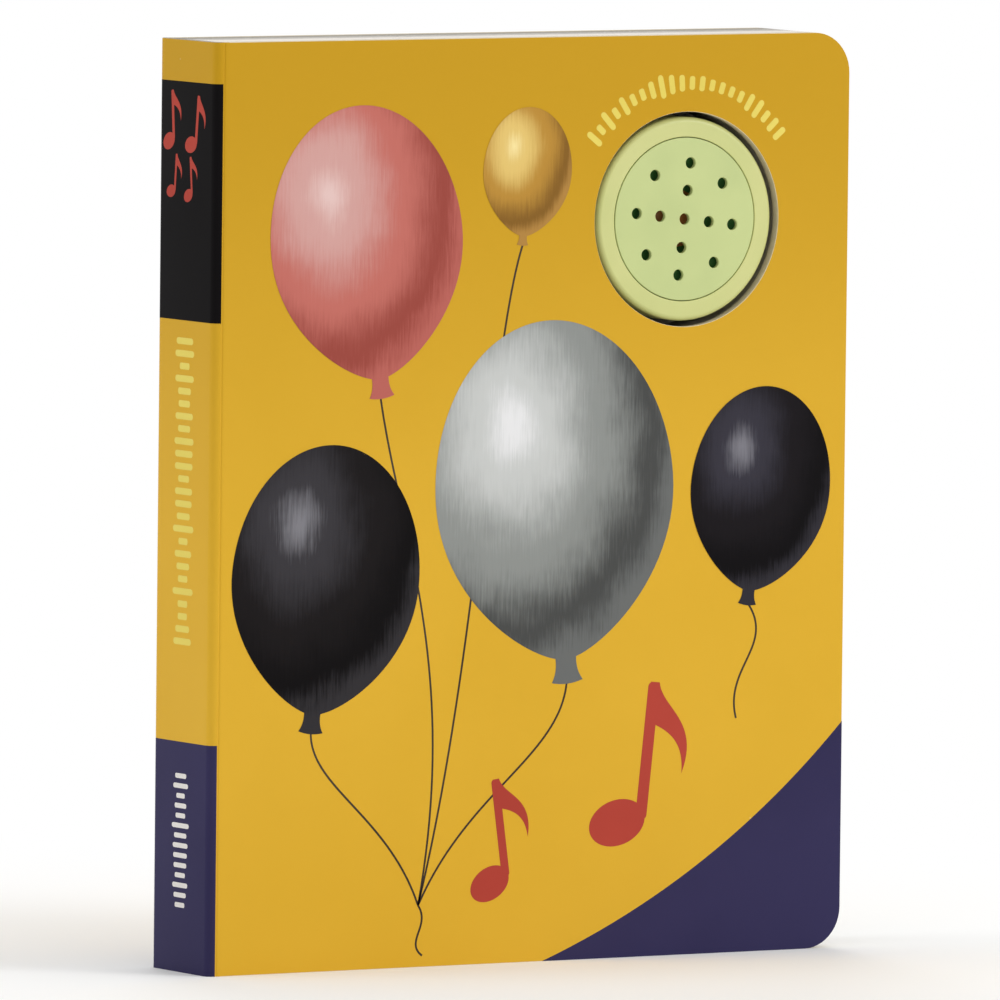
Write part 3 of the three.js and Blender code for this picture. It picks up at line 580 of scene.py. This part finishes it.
def spine_field(name, low, high, material):
    """Ink on the spine between two heights, carried round both folds."""
    fold = fold_arc(FOLD_RADIUS)
    section = [(x, -out) for x, out in reversed(fold)] + fold
    field = bmesh.new()
    rows = []
    for i, (x, out) in enumerate(section):
        after = Vector(section[min(i + 1, len(section) - 1)])
        before = Vector(section[max(i - 1, 0)])
        along = (after - before).normalized()
        lift = Vector((x, out)) + INK * Vector((-along.y, along.x))
        rows.append([field.verts.new(Vector((px, -pout, z)) * MM)
                     for px, pout in ((x, out), tuple(lift)) for z in (low, high)])
    for here, after in zip(rows, rows[1:]):
        for a, b in ((0, 1), (1, 3), (3, 2), (2, 0)):
            field.faces.new((here[a], here[b], after[b], after[a]))
    for end in (rows[0], rows[-1]):
        field.faces.new([end[i] for i in (0, 1, 3, 2)])
    return folded_piece(name, field, [material])


band_outline = filleted([
    (SHEET_X, 0, 0), (FORE_EDGE, 0, CORNER_RADIUS),
    (FORE_EDGE, BAND_HEIGHT, 0), (SHEET_X, BAND_HEIGHT, 0),
])
back_band = plate("navy_back_band_print", band_outline, -FACE - INK, -FACE)
back_band.data.materials.append(navy)
fit(back_band, "back_cover", "navy_print")

navy_band = spine_field("navy_band_print", 0, BAND_HEIGHT, navy)
fit(navy_band, "book_block", "navy_print", "print_navy_spine")
black_panel = spine_field("black_panel_print", PANEL_BOTTOM, PANEL_TOP, black)
fit(black_panel, "book_block", "black_print", "print_black_spine")


# Balloons
# Toy balloons painted with an airbrush: a soft highlight high on the left, a dark far side
# with a little light thrown back on its rim, and fine bristle marks in the paint.
BALLOONS = {
    "grey": dict(across=77, up=92, width=54, height=66, lean=5, slot="grey_print",
                 stops=("#E6E6E7", "#C6C8C6", "#8E918E", "#4B4C4B", "#6B6D6C")),
    "black": dict(across=25.5, up=76, width=42, height=52, lean=-6, slot="black_print",
                  stops=("#7F7E84", "#3C3A3E", "#1D1A1B", "#110F10", "#343235")),
    "coral": dict(across=34, up=141, width=43, height=53, lean=7, slot="coral_print",
                  stops=("#E3C3BE", "#D2A19B", "#C26F65", "#9A4A41", "#B8655C")),
    "gold": dict(across=70, up=154, width=20, height=25, lean=-4, slot="gold_print",
                 stops=("#F6E3A2", "#E2C272", "#B98B3C", "#86602A", "#B08444")),
    "small_black": dict(across=124, up=91, width=32, height=40, lean=-7, slot="black_print",
                        stops=("#7B7A82", "#393740", "#1C191C", "#110F11", "#323036")),
}
HIGHLIGHT = (-0.34, 0.38)
RAMP_AT = (0.0, 0.3, 0.78, 1.2, 1.42)


def balloon_outline(across, up, width, height, lean):
    """A round top, sides that draw in to the neck, and a knot that flares out below it."""
    half, rise = width / 2, height / 2
    neck, knot = 0.13 * width / 3, 0.13 * width / 2
    waist, hem, sag = (-rise - share * height for share in (0.04, 0.07, 0.085))
    top = [(half * x, rise * y) for x, y in circle(1, steps=120)[:60]]
    left = bezier([(-half, 0), (-half, -0.55 * rise), (-0.4 * half, -0.93 * rise), (-neck, -rise)])
    foot = bezier([(-neck, -rise), (-0.9 * neck, waist), (-knot, hem)], 6)
    skirt = bezier([(-knot, hem), (0, sag), (knot, hem)], 8)
    flare = bezier([(knot, hem), (0.9 * neck, waist), (neck, -rise)], 6)
    right = bezier([(neck, -rise), (0.4 * half, -0.93 * rise), (half, -0.55 * rise), (half, 0)])
    outline = top + left + foot + skirt + flare + right
    spin = Matrix.Rotation(math.radians(lean), 2)
    centre = Vector((book_low.x + across, up))
    return [tuple(centre + spin @ Vector(point)) for point in outline]


def airbrushed(name, across, up, width, height, lean, stops):
    """Airbrush paint, printed and laminated: its tone runs from a highlight to the far rim, broken
    up by bristle marks 0.4 mm wide that follow the balloon down."""
    material, tree, place = new_material(name)
    tilt = math.radians(lean)
    spot = Matrix.Rotation(tilt, 2) @ Vector((HIGHLIGHT[0] * width / 2, HIGHLIGHT[1] * height / 2))
    local = add(tree, "ShaderNodeMapping", {
        "Vector": place,
        "Location": ((book_low.x + across + spot.x) * MM, -FACE * MM, (up + spot.y) * MM),
        "Rotation": (0, -tilt, 0),
        "Scale": (width / 2 * MM, 1, height / 2 * MM),
    }, vector_type="TEXTURE")
    far = add(tree, "ShaderNodeVectorMath", {0: local.outputs[0]}, operation="LENGTH")
    strokes = add(tree, "ShaderNodeMapping", {
        "Vector": place, "Rotation": (0, math.radians(18), 0),
        "Scale": (1 / (0.42 * MM), 1, 1 / (7 * MM)),
    })
    bristle = add(tree, "ShaderNodeTexNoise", {
        "Vector": strokes.outputs[0], "Scale": 1, "Detail": 3, "Roughness": 0.6,
    })
    cloud = add(tree, "ShaderNodeTexNoise", {"Vector": place, "Scale": 1 / (9 * MM), "Detail": 2})
    rough = add(tree, "ShaderNodeMath", {
        0: bristle.outputs["Fac"], 1: cloud.outputs["Fac"],
    }, operation="ADD")
    shift = add(tree, "ShaderNodeMapRange", {
        "Value": rough.outputs[0],
        "From Min": 0.6, "From Max": 1.4, "To Min": -0.11, "To Max": 0.11,
    })
    tone = add(tree, "ShaderNodeMath", {
        0: far.outputs["Value"], 1: shift.outputs[0],
    }, operation="ADD")
    spread = add(tree, "ShaderNodeMath", {0: tone.outputs[0], 1: RAMP_AT[-1]}, operation="DIVIDE")
    ramp = add(tree, "ShaderNodeValToRGB", {"Fac": spread.outputs[0]})
    ramp.color_ramp.interpolation = "EASE"
    marks = ramp.color_ramp.elements
    for i, (at, code) in enumerate(zip(RAMP_AT, stops)):
        mark = marks[i] if i < 2 else marks.new(at / RAMP_AT[-1])
        mark.position = at / RAMP_AT[-1]
        mark.color = linear(code)
    return coated(material, {
        "Base Color": ramp.outputs[0], "Roughness": 0.33, "Specular IOR Level": 0.15,
        "IOR": FILM_IOR,
    })


for order, (name, look) in enumerate(BALLOONS.items()):
    shape = {key: look[key] for key in ("across", "up", "width", "height", "lean")}
    level = FACE + (2 + order) * INK
    balloon = plate(f"{name}_balloon_print", balloon_outline(**shape), level, level + INK)
    balloon.data.materials.append(airbrushed(f"airbrushed_{name}", stops=look["stops"], **shape))
    fit(balloon, "front_cover", look["slot"], f"print_{name}_balloon")


# Strings
# Thin drawn lines from the balloons' knots, gathered above the bottom edge of the cover.
STRING_WIDTH = 0.42
GATHER = (47, 12)
STRINGS = {
    "grey": [(80.2, 54.6), (79, 40), (58, 34), GATHER],
    "black": [(22.5, 46.8), (22, 36), (40, 30), GATHER],
    "coral": [(37.4, 110.8), (42, 84), (56, 58), GATHER],
    "gold": [(69.1, 139.8), (62, 120), (60, 60), GATHER],
    "small_black": [(121.4, 68.5), (128, 60), (116, 56), (119, 46)],
    "tail": [GATHER, (50, 8), (44, 5), (48, 2.2)],
}


def new_inputs(tree, **kinds):
    """Adds a geometry input and output and the named sizes to a node tree."""
    tree.interface.new_socket("Geometry", in_out="INPUT", socket_type="NodeSocketGeometry")
    tree.interface.new_socket("Geometry", in_out="OUTPUT", socket_type="NodeSocketGeometry")
    for name, kind in kinds.items():
        title = name.replace("_", " ").title()
        tree.interface.new_socket(title, in_out="INPUT", socket_type=f"NodeSocket{kind}")
    return add(tree, "NodeGroupInput").outputs


def grown(name, lines, tree, stand, out, **values):
    """Runs a node tree along flat lines and stands the result up as a plain mesh."""
    holder = bpy.data.objects.new(name, path_curve(name, lines, closed=False))
    modifier = holder.modifiers.new(name, "NODES")
    modifier.node_group = tree
    given = {key.replace("_", " ").title(): value for key, value in values.items()}
    for item in tree.interface.items_tree:
        if item.in_out == "INPUT" and item.name in given:
            modifier[item.identifier] = given[item.name]
    return stood_up(name, holder, stand, out)


def string_nodes():
    """A flat ribbon of ink along each line."""
    tree = bpy.data.node_groups.new("drawn_string", "GeometryNodeTree")
    given = new_inputs(tree, width="Float", thickness="Float", ink="Material")
    upright = add(tree, "GeometryNodeSetCurveNormal", {"Curve": given["Geometry"]}, mode="Z_UP")
    section = add(tree, "GeometryNodeCurvePrimitiveQuadrilateral", {
        "Width": given["Width"], "Height": given["Thickness"],
    })
    ribbon = add(tree, "GeometryNodeCurveToMesh", {
        "Curve": upright.outputs[0], "Profile Curve": section.outputs[0], "Fill Caps": True,
    })
    whole = add(tree, "GeometryNodeRealizeInstances", {"Geometry": ribbon.outputs[0]})
    inked = add(tree, "GeometryNodeSetMaterial", {
        "Geometry": whole.outputs[0], "Material": given["Ink"],
    })
    add(tree, "NodeGroupOutput", {"Geometry": inked.outputs[0]})
    return tree


string_ink = laminated("laminated_line_print", "#4A4038", "#3C332D", shine=0.2)
string_lines = [
    [(book_low.x + x, z) for x, z in bezier(points, 40) + [points[-1]]]
    for points in STRINGS.values()
]
strings = grown(
    "balloon_strings_print", string_lines, string_nodes(), STAND_FRONT, FACE + 1.2 * INK,
    width=STRING_WIDTH, thickness=INK, ink=string_ink,
)
fit(strings, "front_cover", "black_print")


# Music notes
# Red notes with soft hand-cut outlines: two large ones near the navy corner and two pairs of
# small ones on the black panel.
COVER_NOTES = {
    "large": dict(foot=(96, 26), size=28, lean=-6),
    "small": dict(foot=(66, 16), size=20, lean=8),
}
PANEL_NOTES = (
    dict(foot=(-5.4, 160.4), size=9.8, lean=4),
    dict(foot=(3, 159.8), size=9.8, lean=-6),
    dict(foot=(-4.8, 150.6), size=7.4, lean=-5),
    dict(foot=(1.8, 150.2), size=7.4, lean=5),
)
red = laminated("laminated_red_print", "#B4463A", "#AB4136", shine=0.2)


def note_outlines(foot, size, lean):
    """An oval head, a stem and a curled flag, each as its own outline."""
    stem = 0.09 * size
    tilt = Matrix.Rotation(0.35, 2)
    centre = Vector((-0.145 * size, 0))
    oval = [Vector((0.23 * size * x, 0.16 * size * y)) for x, y in circle(1, steps=48)]
    head = [tuple(centre + tilt @ point) for point in oval]
    soft = 0.4 * stem
    bar = filleted([(0, soft, soft), (stem, soft, soft), (stem, size, soft), (0, size, soft)], 6)
    tip = (0.34 * size, 0.38 * size)
    flag = [(0.2 * stem, size)] + bezier([
        (stem, size), (1.4 * stem, 0.82 * size), (0.46 * size, 0.76 * size), tip,
    ]) + bezier([
        tip, (0.34 * size, 0.6 * size), (0.2 * size, 0.68 * size), (0.2 * stem, 0.72 * size),
    ])
    spin = Matrix.Rotation(math.radians(lean), 2)
    return [
        [tuple(Vector(foot) + spin @ Vector(point)) for point in outline]
        for outline in (head, bar, flag)
    ]


def joined(name, pieces):
    """One object from several."""
    whole = bmesh.new()
    for piece in pieces:
        whole.from_mesh(piece.data)
    mesh = pieces[0].data.copy()
    whole.to_mesh(mesh)
    for piece in pieces:
        bpy.data.objects.remove(piece)
    return smooth_piece(name, mesh)


def printed_note(name, level, stand, foot, size, lean):
    """The three outlines of a note as fine plates, each a little above the one before."""
    parts = []
    for i, outline in enumerate(note_outlines(foot, size, lean)):
        low = level + 0.3 * i * INK
        parts.append(plate(f"{name}_{i}", outline, low, low + INK, stand=stand))
    note = joined(name, parts)
    note.data.materials.append(red)
    return note


for name, look in COVER_NOTES.items():
    x, z = look["foot"]
    place = {**look, "foot": (book_low.x + x, z)}
    note = printed_note(f"{name}_note_print", FACE + INK, STAND_FRONT, **place)
    fit(note, "front_cover", "red_print", f"print_{name}_note")
for i, look in enumerate(PANEL_NOTES, 1):
    note = printed_note(f"panel_note_{i}_print", -book_low.x + INK, STAND_SPINE, **look)
    fit(note, "book_block", "red_print")


# Rows of bars
# Rounded strokes of uneven height, like a drawn sound wave, in flat ink on the sheet: a pale
# yellow arc above the window, a pale yellow column on the spine and a white one on its band.
ARC_RADIUS = 26.6
ARC_FROM, ARC_TO = 38, 143
ARC_STEPS = 60


def bar_nodes():
    """Rounded bars spread evenly along a line and standing across it, of random heights."""
    tree = bpy.data.node_groups.new("row_of_bars", "GeometryNodeTree")
    given = new_inputs(
        tree, count="Int", bar_width="Float", bar_height="Float", unevenness="Float", seed="Int",
        ink="Material",
    )
    spots = add(tree, "GeometryNodeCurveToPoints", {
        "Curve": given["Geometry"], "Count": given["Count"],
    }, mode="COUNT")
    box = add(tree, "GeometryNodeCurvePrimitiveQuadrilateral", {
        "Width": given["Bar Width"], "Height": given["Bar Height"],
    })
    corner = add(tree, "ShaderNodeMath", {0: given["Bar Width"], 1: 0.46}, operation="MULTIPLY")
    rounded = add(tree, "GeometryNodeFilletCurve", {
        "Curve": box.outputs[0], "Radius": corner.outputs[0], "Count": 5, "Limit Radius": True,
    }, mode="POLY")
    filled = add(tree, "GeometryNodeFillCurve", {"Curve": rounded.outputs[0]}, mode="NGONS")
    along = add(tree, "FunctionNodeAlignRotationToVector", {
        "Vector": spots.outputs["Tangent"],
    }, axis="X", pivot_axis="Z")
    least = add(tree, "ShaderNodeMath", {0: 1.0, 1: given["Unevenness"]}, operation="SUBTRACT")
    most = add(tree, "ShaderNodeMath", {0: 1.0, 1: given["Unevenness"]}, operation="ADD")
    stretch = add(tree, "FunctionNodeRandomValue", {
        2: least.outputs[0], 3: most.outputs[0], "Seed": given["Seed"],
    }, data_type="FLOAT")
    size = add(tree, "ShaderNodeCombineXYZ", {"X": 1.0, "Y": stretch.outputs[1], "Z": 1.0})
    row = add(tree, "GeometryNodeInstanceOnPoints", {
        "Points": spots.outputs[0], "Instance": filled.outputs[0],
        "Rotation": along.outputs[0], "Scale": size.outputs[0],
    })
    whole = add(tree, "GeometryNodeRealizeInstances", {"Geometry": row.outputs[0]})
    inked = add(tree, "GeometryNodeSetMaterial", {
        "Geometry": whole.outputs[0], "Material": given["Ink"],
    })
    add(tree, "NodeGroupOutput", {"Geometry": inked.outputs[0]})
    return tree


bars = bar_nodes()
pale_yellow = laminated("laminated_pale_yellow_print", "#E6D468", "#E0CC60", shine=0.2)
white_ink = laminated("laminated_white_print", "#E9E6E2", "#DEDAD6", shine=0.2)

arc_turn = (ARC_FROM - ARC_TO) / ARC_STEPS
arc_angles = [math.radians(ARC_TO + arc_turn * i) for i in range(ARC_STEPS + 1)]
arc = [
    (MODULE[0] + ARC_RADIUS * math.cos(a), MODULE[1] + ARC_RADIUS * math.sin(a)) for a in arc_angles
]
arc_bars = grown(
    "arc_bars_print", [arc], bars, STAND_FRONT, FACE + INK,
    count=22, bar_width=1.25, bar_height=3.4, unevenness=0.42, seed=4, ink=pale_yellow,
)
fit(arc_bars, "front_cover", "gold_print")

spine_bars = grown(
    "spine_bars_print", [[(0, 64), (0, 122)]], bars, STAND_SPINE, -book_low.x + INK,
    count=25, bar_width=1.3, bar_height=5.6, unevenness=0.42, seed=7, ink=pale_yellow,
)
fit(spine_bars, "book_block", "gold_print")

band_bars = grown(
    "band_bars_print", [[(0, 13), (0, 38)]], bars, STAND_SPINE, -book_low.x + 2 * INK,
    count=14, bar_width=0.95, bar_height=4.8, unevenness=0.42, seed=2, ink=white_ink,
)
fit(band_bars, "book_block", "navy_print")


# Block of leaves
# Seven thick coated board leaves, glued at the spine and trimmed together. Their cut edges
# show as fine pale bands with darker lines between them.
def leaf_board():
    """Coated white board: smooth off-white faces and a cut edge of fine pressed layers, with
    painted shade that greys the edges of the leaves towards the back."""
    material, tree, place = new_material("coated_white_board")
    layers = add(tree, "ShaderNodeMapping", {"Vector": place, "Scale": (1, 14, 1)})
    fibre = add(tree, "ShaderNodeTexNoise", {
        "Vector": layers.outputs[0], "Scale": 1 / (3 * MM), "Detail": 5, "Roughness": 0.65,
    })
    tone = two_tones(tree, fibre.outputs["Fac"], (0.3, "#BFB4A6"), (0.66, "#DDD7CD"))
    # Painted shade: the cut edges go over into grey towards the leaves at the back.
    depth = add(tree, "ShaderNodeSeparateXYZ", {"Vector": place})
    rearward = add(tree, "ShaderNodeMapRange", {
        "Value": depth.outputs["Y"], "From Min": -3.5 * MM, "From Max": 0.5 * MM,
    }, interpolation_type="SMOOTHSTEP")
    shaded_towards_back = add(tree, "ShaderNodeMixRGB", {
        "Fac": rearward.outputs[0], "Color1": tone.outputs[0], "Color2": linear("#8E887F"),
    })
    rise = raised(tree, fibre, 0.3, 0.03)
    return coated(material, {
        "Base Color": shaded_towards_back.outputs[0], "Roughness": 0.6, "Normal": rise.outputs[0],
        "Specular IOR Level": 0.3,
    })


dress("page_block", leaf_board())
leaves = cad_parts["page_block"].data
leaves.materials.append(white_paper("coated_leaf_face", "#EDEBE5", "#E9E6DF"))
for face in leaves.polygons:
    face.material_index = int(abs(face.normal.y) > FACING)


# Sound module shells
# Front shell, push button, rear shell and battery door are injection-moulded ABS with soft
# edges. The button's plate is thinner round its sound holes. The shells are screwed together
# from behind.
RING_OUTER, LIP_RADIUS, WALL_INNER = 19.9, 16.05, 18.3
LIP_DEPTH = 1.8
RING_ROUND, SOFT_EDGE, FINE_EDGE = 1.0, 0.2, 0.1
BOSS_ORBIT, BOSS_RADIUS, BOSS_HOLE = 16.6, 2.1, 1.1
BOSS_TOP, BOSS_HOLE_END = 2.7, 1.0
BUTTON_RADIUS, SKIRT_INNER, STOP_RADIUS = 15.9, 14.4, 17.4
BUTTON_PLATE, BUTTON_EDGE, STOP_THICKNESS = 1.8, 0.15, 1.0
SOUND_HOLE_RADIUS, RELIEF_RADIUS = 1.1, 2.0
FACE_LAYER = 0.95
TUCKED_IN, OVERLAP, SKIRT_OVERLAP = 0.05, 0.02, 0.4
ROUND_STEPS, HOLE_STEPS = 144, 28
WELD = 0.002
HOLE_RINGS = ((4, 5.6), (8, 11.0))
HOLE_TURN = -6.6


def around(radius, count, turn):
    """Places spread evenly on a circle about the module's axis."""
    angles = [turn + 2 * math.pi * i / count for i in range(count)]
    return [(MODULE[0] + radius * math.cos(a), MODULE[1] + radius * math.sin(a)) for a in angles]


def turned(name, profile, centre, segments=ROUND_STEPS):
    """A ring with the given section, as (radius, out, corner rounding) points."""
    section = filleted(profile, 7)
    mesh = bpy.data.meshes.new(name)
    ring = bmesh.new()
    rows = []
    for i in range(segments):
        angle = 2 * math.pi * i / segments
        rows.append([ring.verts.new(Vector((
            centre[0] + r * math.cos(angle), -out, centre[1] + r * math.sin(angle),
        )) * MM) for r, out in section])
    for here, after in zip(rows, rows[1:] + rows[:1]):
        for j in range(len(section)):
            k = (j + 1) % len(section)
            ring.faces.new((here[j], here[k], after[k], after[j]))
    bmesh.ops.remove_doubles(ring, verts=ring.verts, dist=WELD * MM)
    bmesh.ops.recalc_face_normals(ring, faces=ring.faces)
    ring.to_mesh(mesh)
    return smooth_piece(name, mesh)


def welded(node, flatten):
    """A copy of a CAD node's mesh with its corners joined, and its flat faces too if asked."""
    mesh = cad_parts[node].data.copy()
    mesh.materials.clear()
    shape = bmesh.new()
    shape.from_mesh(mesh)
    bmesh.ops.remove_doubles(shape, verts=shape.verts, dist=WELD * MM)
    if flatten:
        bmesh.ops.dissolve_limit(
            shape, angle_limit=math.radians(1), verts=shape.verts, edges=shape.edges,
        )
    shape.to_mesh(mesh)
    return mesh


def softened(name, node, edge, steps=3):
    """A copy of a moulded or turned CAD piece with its sharp edges rounded."""
    blank = bpy.data.objects.new(name, welded(node, flatten=True))
    bpy.context.scene.collection.objects.link(blank)
    bevel = blank.modifiers.new("soft_edges", "BEVEL")
    bevel.width = edge * MM
    bevel.segments = steps
    bevel.limit_method = "ANGLE"
    bevel.angle_limit = math.radians(50)
    rounded = as_mesh(blank)
    bpy.data.objects.remove(blank)
    return smooth_piece(name, rounded, sharp=40)


def moulded(name, colour, shade, rough=0.38, grain=0.25):
    """Injection-moulded ABS: even colour, a fine spark-eroded texture and a soft sheen."""
    material, tree, place = new_material(name)
    flow = add(tree, "ShaderNodeTexNoise", {"Vector": place, "Scale": 1 / (14 * MM), "Detail": 2})
    tone = two_tones(tree, flow.outputs["Fac"], (0.35, shade), (0.62, colour))
    texture = add(tree, "ShaderNodeTexNoise", {
        "Vector": place, "Scale": 1 / (grain * MM), "Detail": 2,
    })
    rise = raised(tree, texture, 0.25, 0.02)
    return coated(material, {
        "Base Color": tone.outputs[0], "Roughness": rough, "Normal": rise.outputs[0],
        "Specular IOR Level": 0.4, "IOR": 1.53,
    })


ring_plastic = moulded("moulded_lime_abs", "#CACC84", "#C4C87F")
button_plastic = moulded("moulded_pale_green_abs", "#C0CB86", "#BAC682")
rear_plastic = moulded("moulded_white_abs", "#DAD8CF", "#D2D0C6", rough=0.45)

ring_low, ring_high = span("module_bezel")
ring_top, ring_bottom, lip_bottom = -ring_low.y, -ring_high.y, -ring_low.y - LIP_DEPTH
shell_ring = turned("front_shell_ring", [
    (WALL_INNER, ring_bottom, 0), (RING_OUTER, ring_bottom, SOFT_EDGE),
    (RING_OUTER, ring_top, RING_ROUND), (LIP_RADIUS, ring_top, SOFT_EDGE),
    (LIP_RADIUS, lip_bottom, SOFT_EDGE), (WALL_INNER, lip_bottom, 0),
], MODULE)
bosses = []
for i, middle in enumerate(around(BOSS_ORBIT, 3, math.pi / 2)):
    bosses.append(turned(f"boss_{i}", [
        (0, BOSS_HOLE_END, 0), (BOSS_HOLE, BOSS_HOLE_END, 0), (BOSS_HOLE, ring_bottom, FINE_EDGE),
        (BOSS_RADIUS, ring_bottom, FINE_EDGE), (BOSS_RADIUS, BOSS_TOP, SOFT_EDGE), (0, BOSS_TOP, 0),
    ], middle, segments=32))
front_shell = joined("front_shell", [shell_ring, *bosses])
front_shell.data.materials.append(ring_plastic)
fit(front_shell, "back_cover", "bezel_plastic", "module_bezel")

cap_low, cap_high = span("push_button")
cap_top, skirt_bottom, plate_bottom = -cap_low.y, -cap_high.y, -cap_low.y - BUTTON_PLATE
hole_places = [MODULE]
for count, ring_radius in HOLE_RINGS:
    hole_places += around(ring_radius, count, math.radians(HOLE_TURN))
button_face = plate(
    "button_face", circle(BUTTON_RADIUS, MODULE, ROUND_STEPS), cap_top - FACE_LAYER, cap_top,
    [circle(SOUND_HOLE_RADIUS, place, HOLE_STEPS) for place in hole_places], BUTTON_EDGE,
)
tucked_radius = BUTTON_RADIUS - TUCKED_IN
button_underside = plate(
    "button_underside", circle(tucked_radius, MODULE, ROUND_STEPS),
    plate_bottom, cap_top - FACE_LAYER + OVERLAP,
    [circle(RELIEF_RADIUS, place, HOLE_STEPS) for place in hole_places],
)
stop_bottom, skirt_top = plate_bottom - STOP_THICKNESS, plate_bottom + SKIRT_OVERLAP
button_skirt = turned("button_skirt", [
    (SKIRT_INNER, skirt_bottom, FINE_EDGE), (BUTTON_RADIUS, skirt_bottom, FINE_EDGE),
    (BUTTON_RADIUS, stop_bottom, 0), (STOP_RADIUS, stop_bottom, BUTTON_EDGE),
    (STOP_RADIUS, plate_bottom, BUTTON_EDGE), (tucked_radius, plate_bottom, 0),
    (tucked_radius, skirt_top, 0), (SKIRT_INNER, skirt_top, 0),
], MODULE)
button_cap = joined("button_cap", [button_face, button_underside, button_skirt])
button_cap.data.materials.append(button_plastic)
fit(button_cap, "push_button", "button_plastic", "push_button")

rear_shell = softened("rear_shell", "module_rear_shell", 0.15, 2)
rear_shell.data.materials.append(rear_plastic)
fit(rear_shell, "back_cover", "rear_plastic", "module_rear_shell")

door = softened("door_cap", "battery_door", 0.2)
door.data.materials.append(rear_plastic)
fit(door, "back_cover", "rear_plastic", "battery_door")


# Screws, springs and other metal parts
# Zinc-plated screws with a cross recess, a steel return spring, a pressed loudspeaker basket
# and yoke, and nickel-plated battery contacts.
def metal(name, colour, shade, rough, grain, stretch=(1, 1, 1)):
    """Plated or bare metal: fine tool marks that break up the shine."""
    material, tree, place = new_material(name)
    drawn = add(tree, "ShaderNodeMapping", {"Vector": place, "Scale": stretch})
    marks = add(tree, "ShaderNodeTexNoise", {
        "Vector": drawn.outputs[0], "Scale": 1 / (grain * MM), "Detail": 4,
    })
    tone = two_tones(tree, marks.outputs["Fac"], (0, shade), (1, colour))
    worn = add(tree, "ShaderNodeMapRange", {
        "Value": marks.outputs["Fac"], "To Min": rough - 0.08, "To Max": rough + 0.08,
    })
    rise = raised(tree, marks, 0.2, 0.01)
    return coated(material, {
        "Base Color": tone.outputs[0], "Metallic": 1.0, "Roughness": worn.outputs[0],
        "Normal": rise.outputs[0],
    })


zinc = metal("zinc_plated_steel", "#D5D6D8", "#A9ABAE", 0.32, 0.6)
spring_steel = metal("drawn_spring_steel", "#C2C3C5", "#8C8E91", 0.28, 0.3)
pressed_steel = metal("pressed_steel", "#B9BBBD", "#8F9194", 0.4, 1.2, (1, 3, 1))
nickel = metal("nickel_plated_strip", "#D8D3C6", "#B5B0A3", 0.25, 0.8, (6, 1, 1))
copper_wire = metal("enamelled_copper_wire", "#C27C46", "#8E5128", 0.35, 0.15, (1, 5, 1))

for i in (1, 2, 3):
    screw = softened(f"shell_screw_{i}", f"housing_screw_{i}", 0.1, 2)
    screw.data.materials.append(zinc)
    fit(screw, "back_cover", "steel", f"housing_screw_{i}")
    dress(f"button_cell_{i}", zinc)
door_screw = softened("door_screw", "battery_door_screw", 0.1, 2)
door_screw.data.materials.append(zinc)
fit(door_screw, "back_cover", "steel", "battery_door_screw")

dress("speaker_basket", pressed_steel)
dress("speaker_yoke", pressed_steel)
dress("voice_coil", copper_wire)
for name in ("contact_minus", "contact_plus", "contact_bridge_front", "contact_bridge_rear"):
    dress(name, nickel)


def giving(name, node, material):
    """A spring or lead between the circuit board and the loudspeaker: a smooth-shaded copy of
    its CAD node, which takes the node's place."""
    piece = smooth_piece(name, welded(node, flatten=False), sharp=60)
    piece.data.materials.append(material)
    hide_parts(node)
    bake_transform(piece)


giving("coiled_return_spring", "return_spring", spring_steel)


# Loudspeaker and electronics
# A green film cone with a copper-coloured dust cap, a ferrite magnet and foam gasket, and the
# circuit board with its resin drop, two small parts and two thin leads.
def plain_stuff(name, colour, shade, rough, grain, shine=0.4, height=0.02):
    """A dull or glossy non-metal with a mottled tone and a fine uneven surface."""
    material, tree, place = new_material(name)
    mottle = add(tree, "ShaderNodeTexNoise", {
        "Vector": place, "Scale": 1 / (grain * MM), "Detail": 4,
    })
    tone = two_tones(tree, mottle.outputs["Fac"], (0.3, shade), (0.7, colour))
    rise = raised(tree, mottle, 0.3, height)
    return coated(material, {
        "Base Color": tone.outputs[0], "Roughness": rough, "Normal": rise.outputs[0],
        "Specular IOR Level": shine,
    })


def circuit_laminate():
    """Green solder resist over copper tracks, which show as lighter lines 0.5 mm wide."""
    material, tree, place = new_material("solder_resist_laminate")
    tracks = add(tree, "ShaderNodeTexBrick", {
        "Vector": place, "Scale": 1 / (4 * MM), "Mortar Size": 0.06,
        "Color1": linear("#2A6B3C"), "Color2": linear("#2F7343"), "Mortar": linear("#4B9A5C"),
    })
    weave = add(tree, "ShaderNodeTexNoise", {"Vector": place, "Scale": 1 / (0.3 * MM), "Detail": 2})
    rise = raised(tree, weave, 0.2, 0.02)
    return coated(material, {
        "Base Color": tracks.outputs["Color"], "Roughness": 0.35, "Normal": rise.outputs[0],
    })


dress("speaker_cone", plain_stuff("green_film", "#5E9A57", "#478443", 0.3, 2))
dress("dust_cap", plain_stuff("copper_coloured_film", "#E0975A", "#C67C43", 0.35, 1.2))
dress("speaker_magnet", plain_stuff("sintered_ferrite", "#46464A", "#2F2F33", 0.7, 0.4))
dress("speaker_gasket", plain_stuff("closed_cell_foam", "#3A3A3C", "#202022", 0.9, 0.5, height=0.1))
dress("contact_pill", plain_stuff("conductive_rubber", "#2B2B2D", "#1E1E20", 0.8, 0.6))
dress("circuit_board", circuit_laminate())
dress("chip_resin", plain_stuff("epoxy_resin_drop", "#1B1B1D", "#121214", 0.2, 1.5, 0.5))
dress("capacitor", plain_stuff("fired_tan_ceramic", "#B98F5C", "#A37A48", 0.4, 0.5))
dress("resistor", plain_stuff("black_glazed_ceramic", "#232325", "#161618", 0.35, 0.4))
giving("red_lead", "speaker_lead_red",
       plain_stuff("red_pvc_sleeve", "#A82A22", "#8C1F19", 0.4, 0.8))
giving("black_lead", "speaker_lead_black",
       plain_stuff("black_pvc_sleeve", "#232325", "#18181A", 0.4, 0.8))
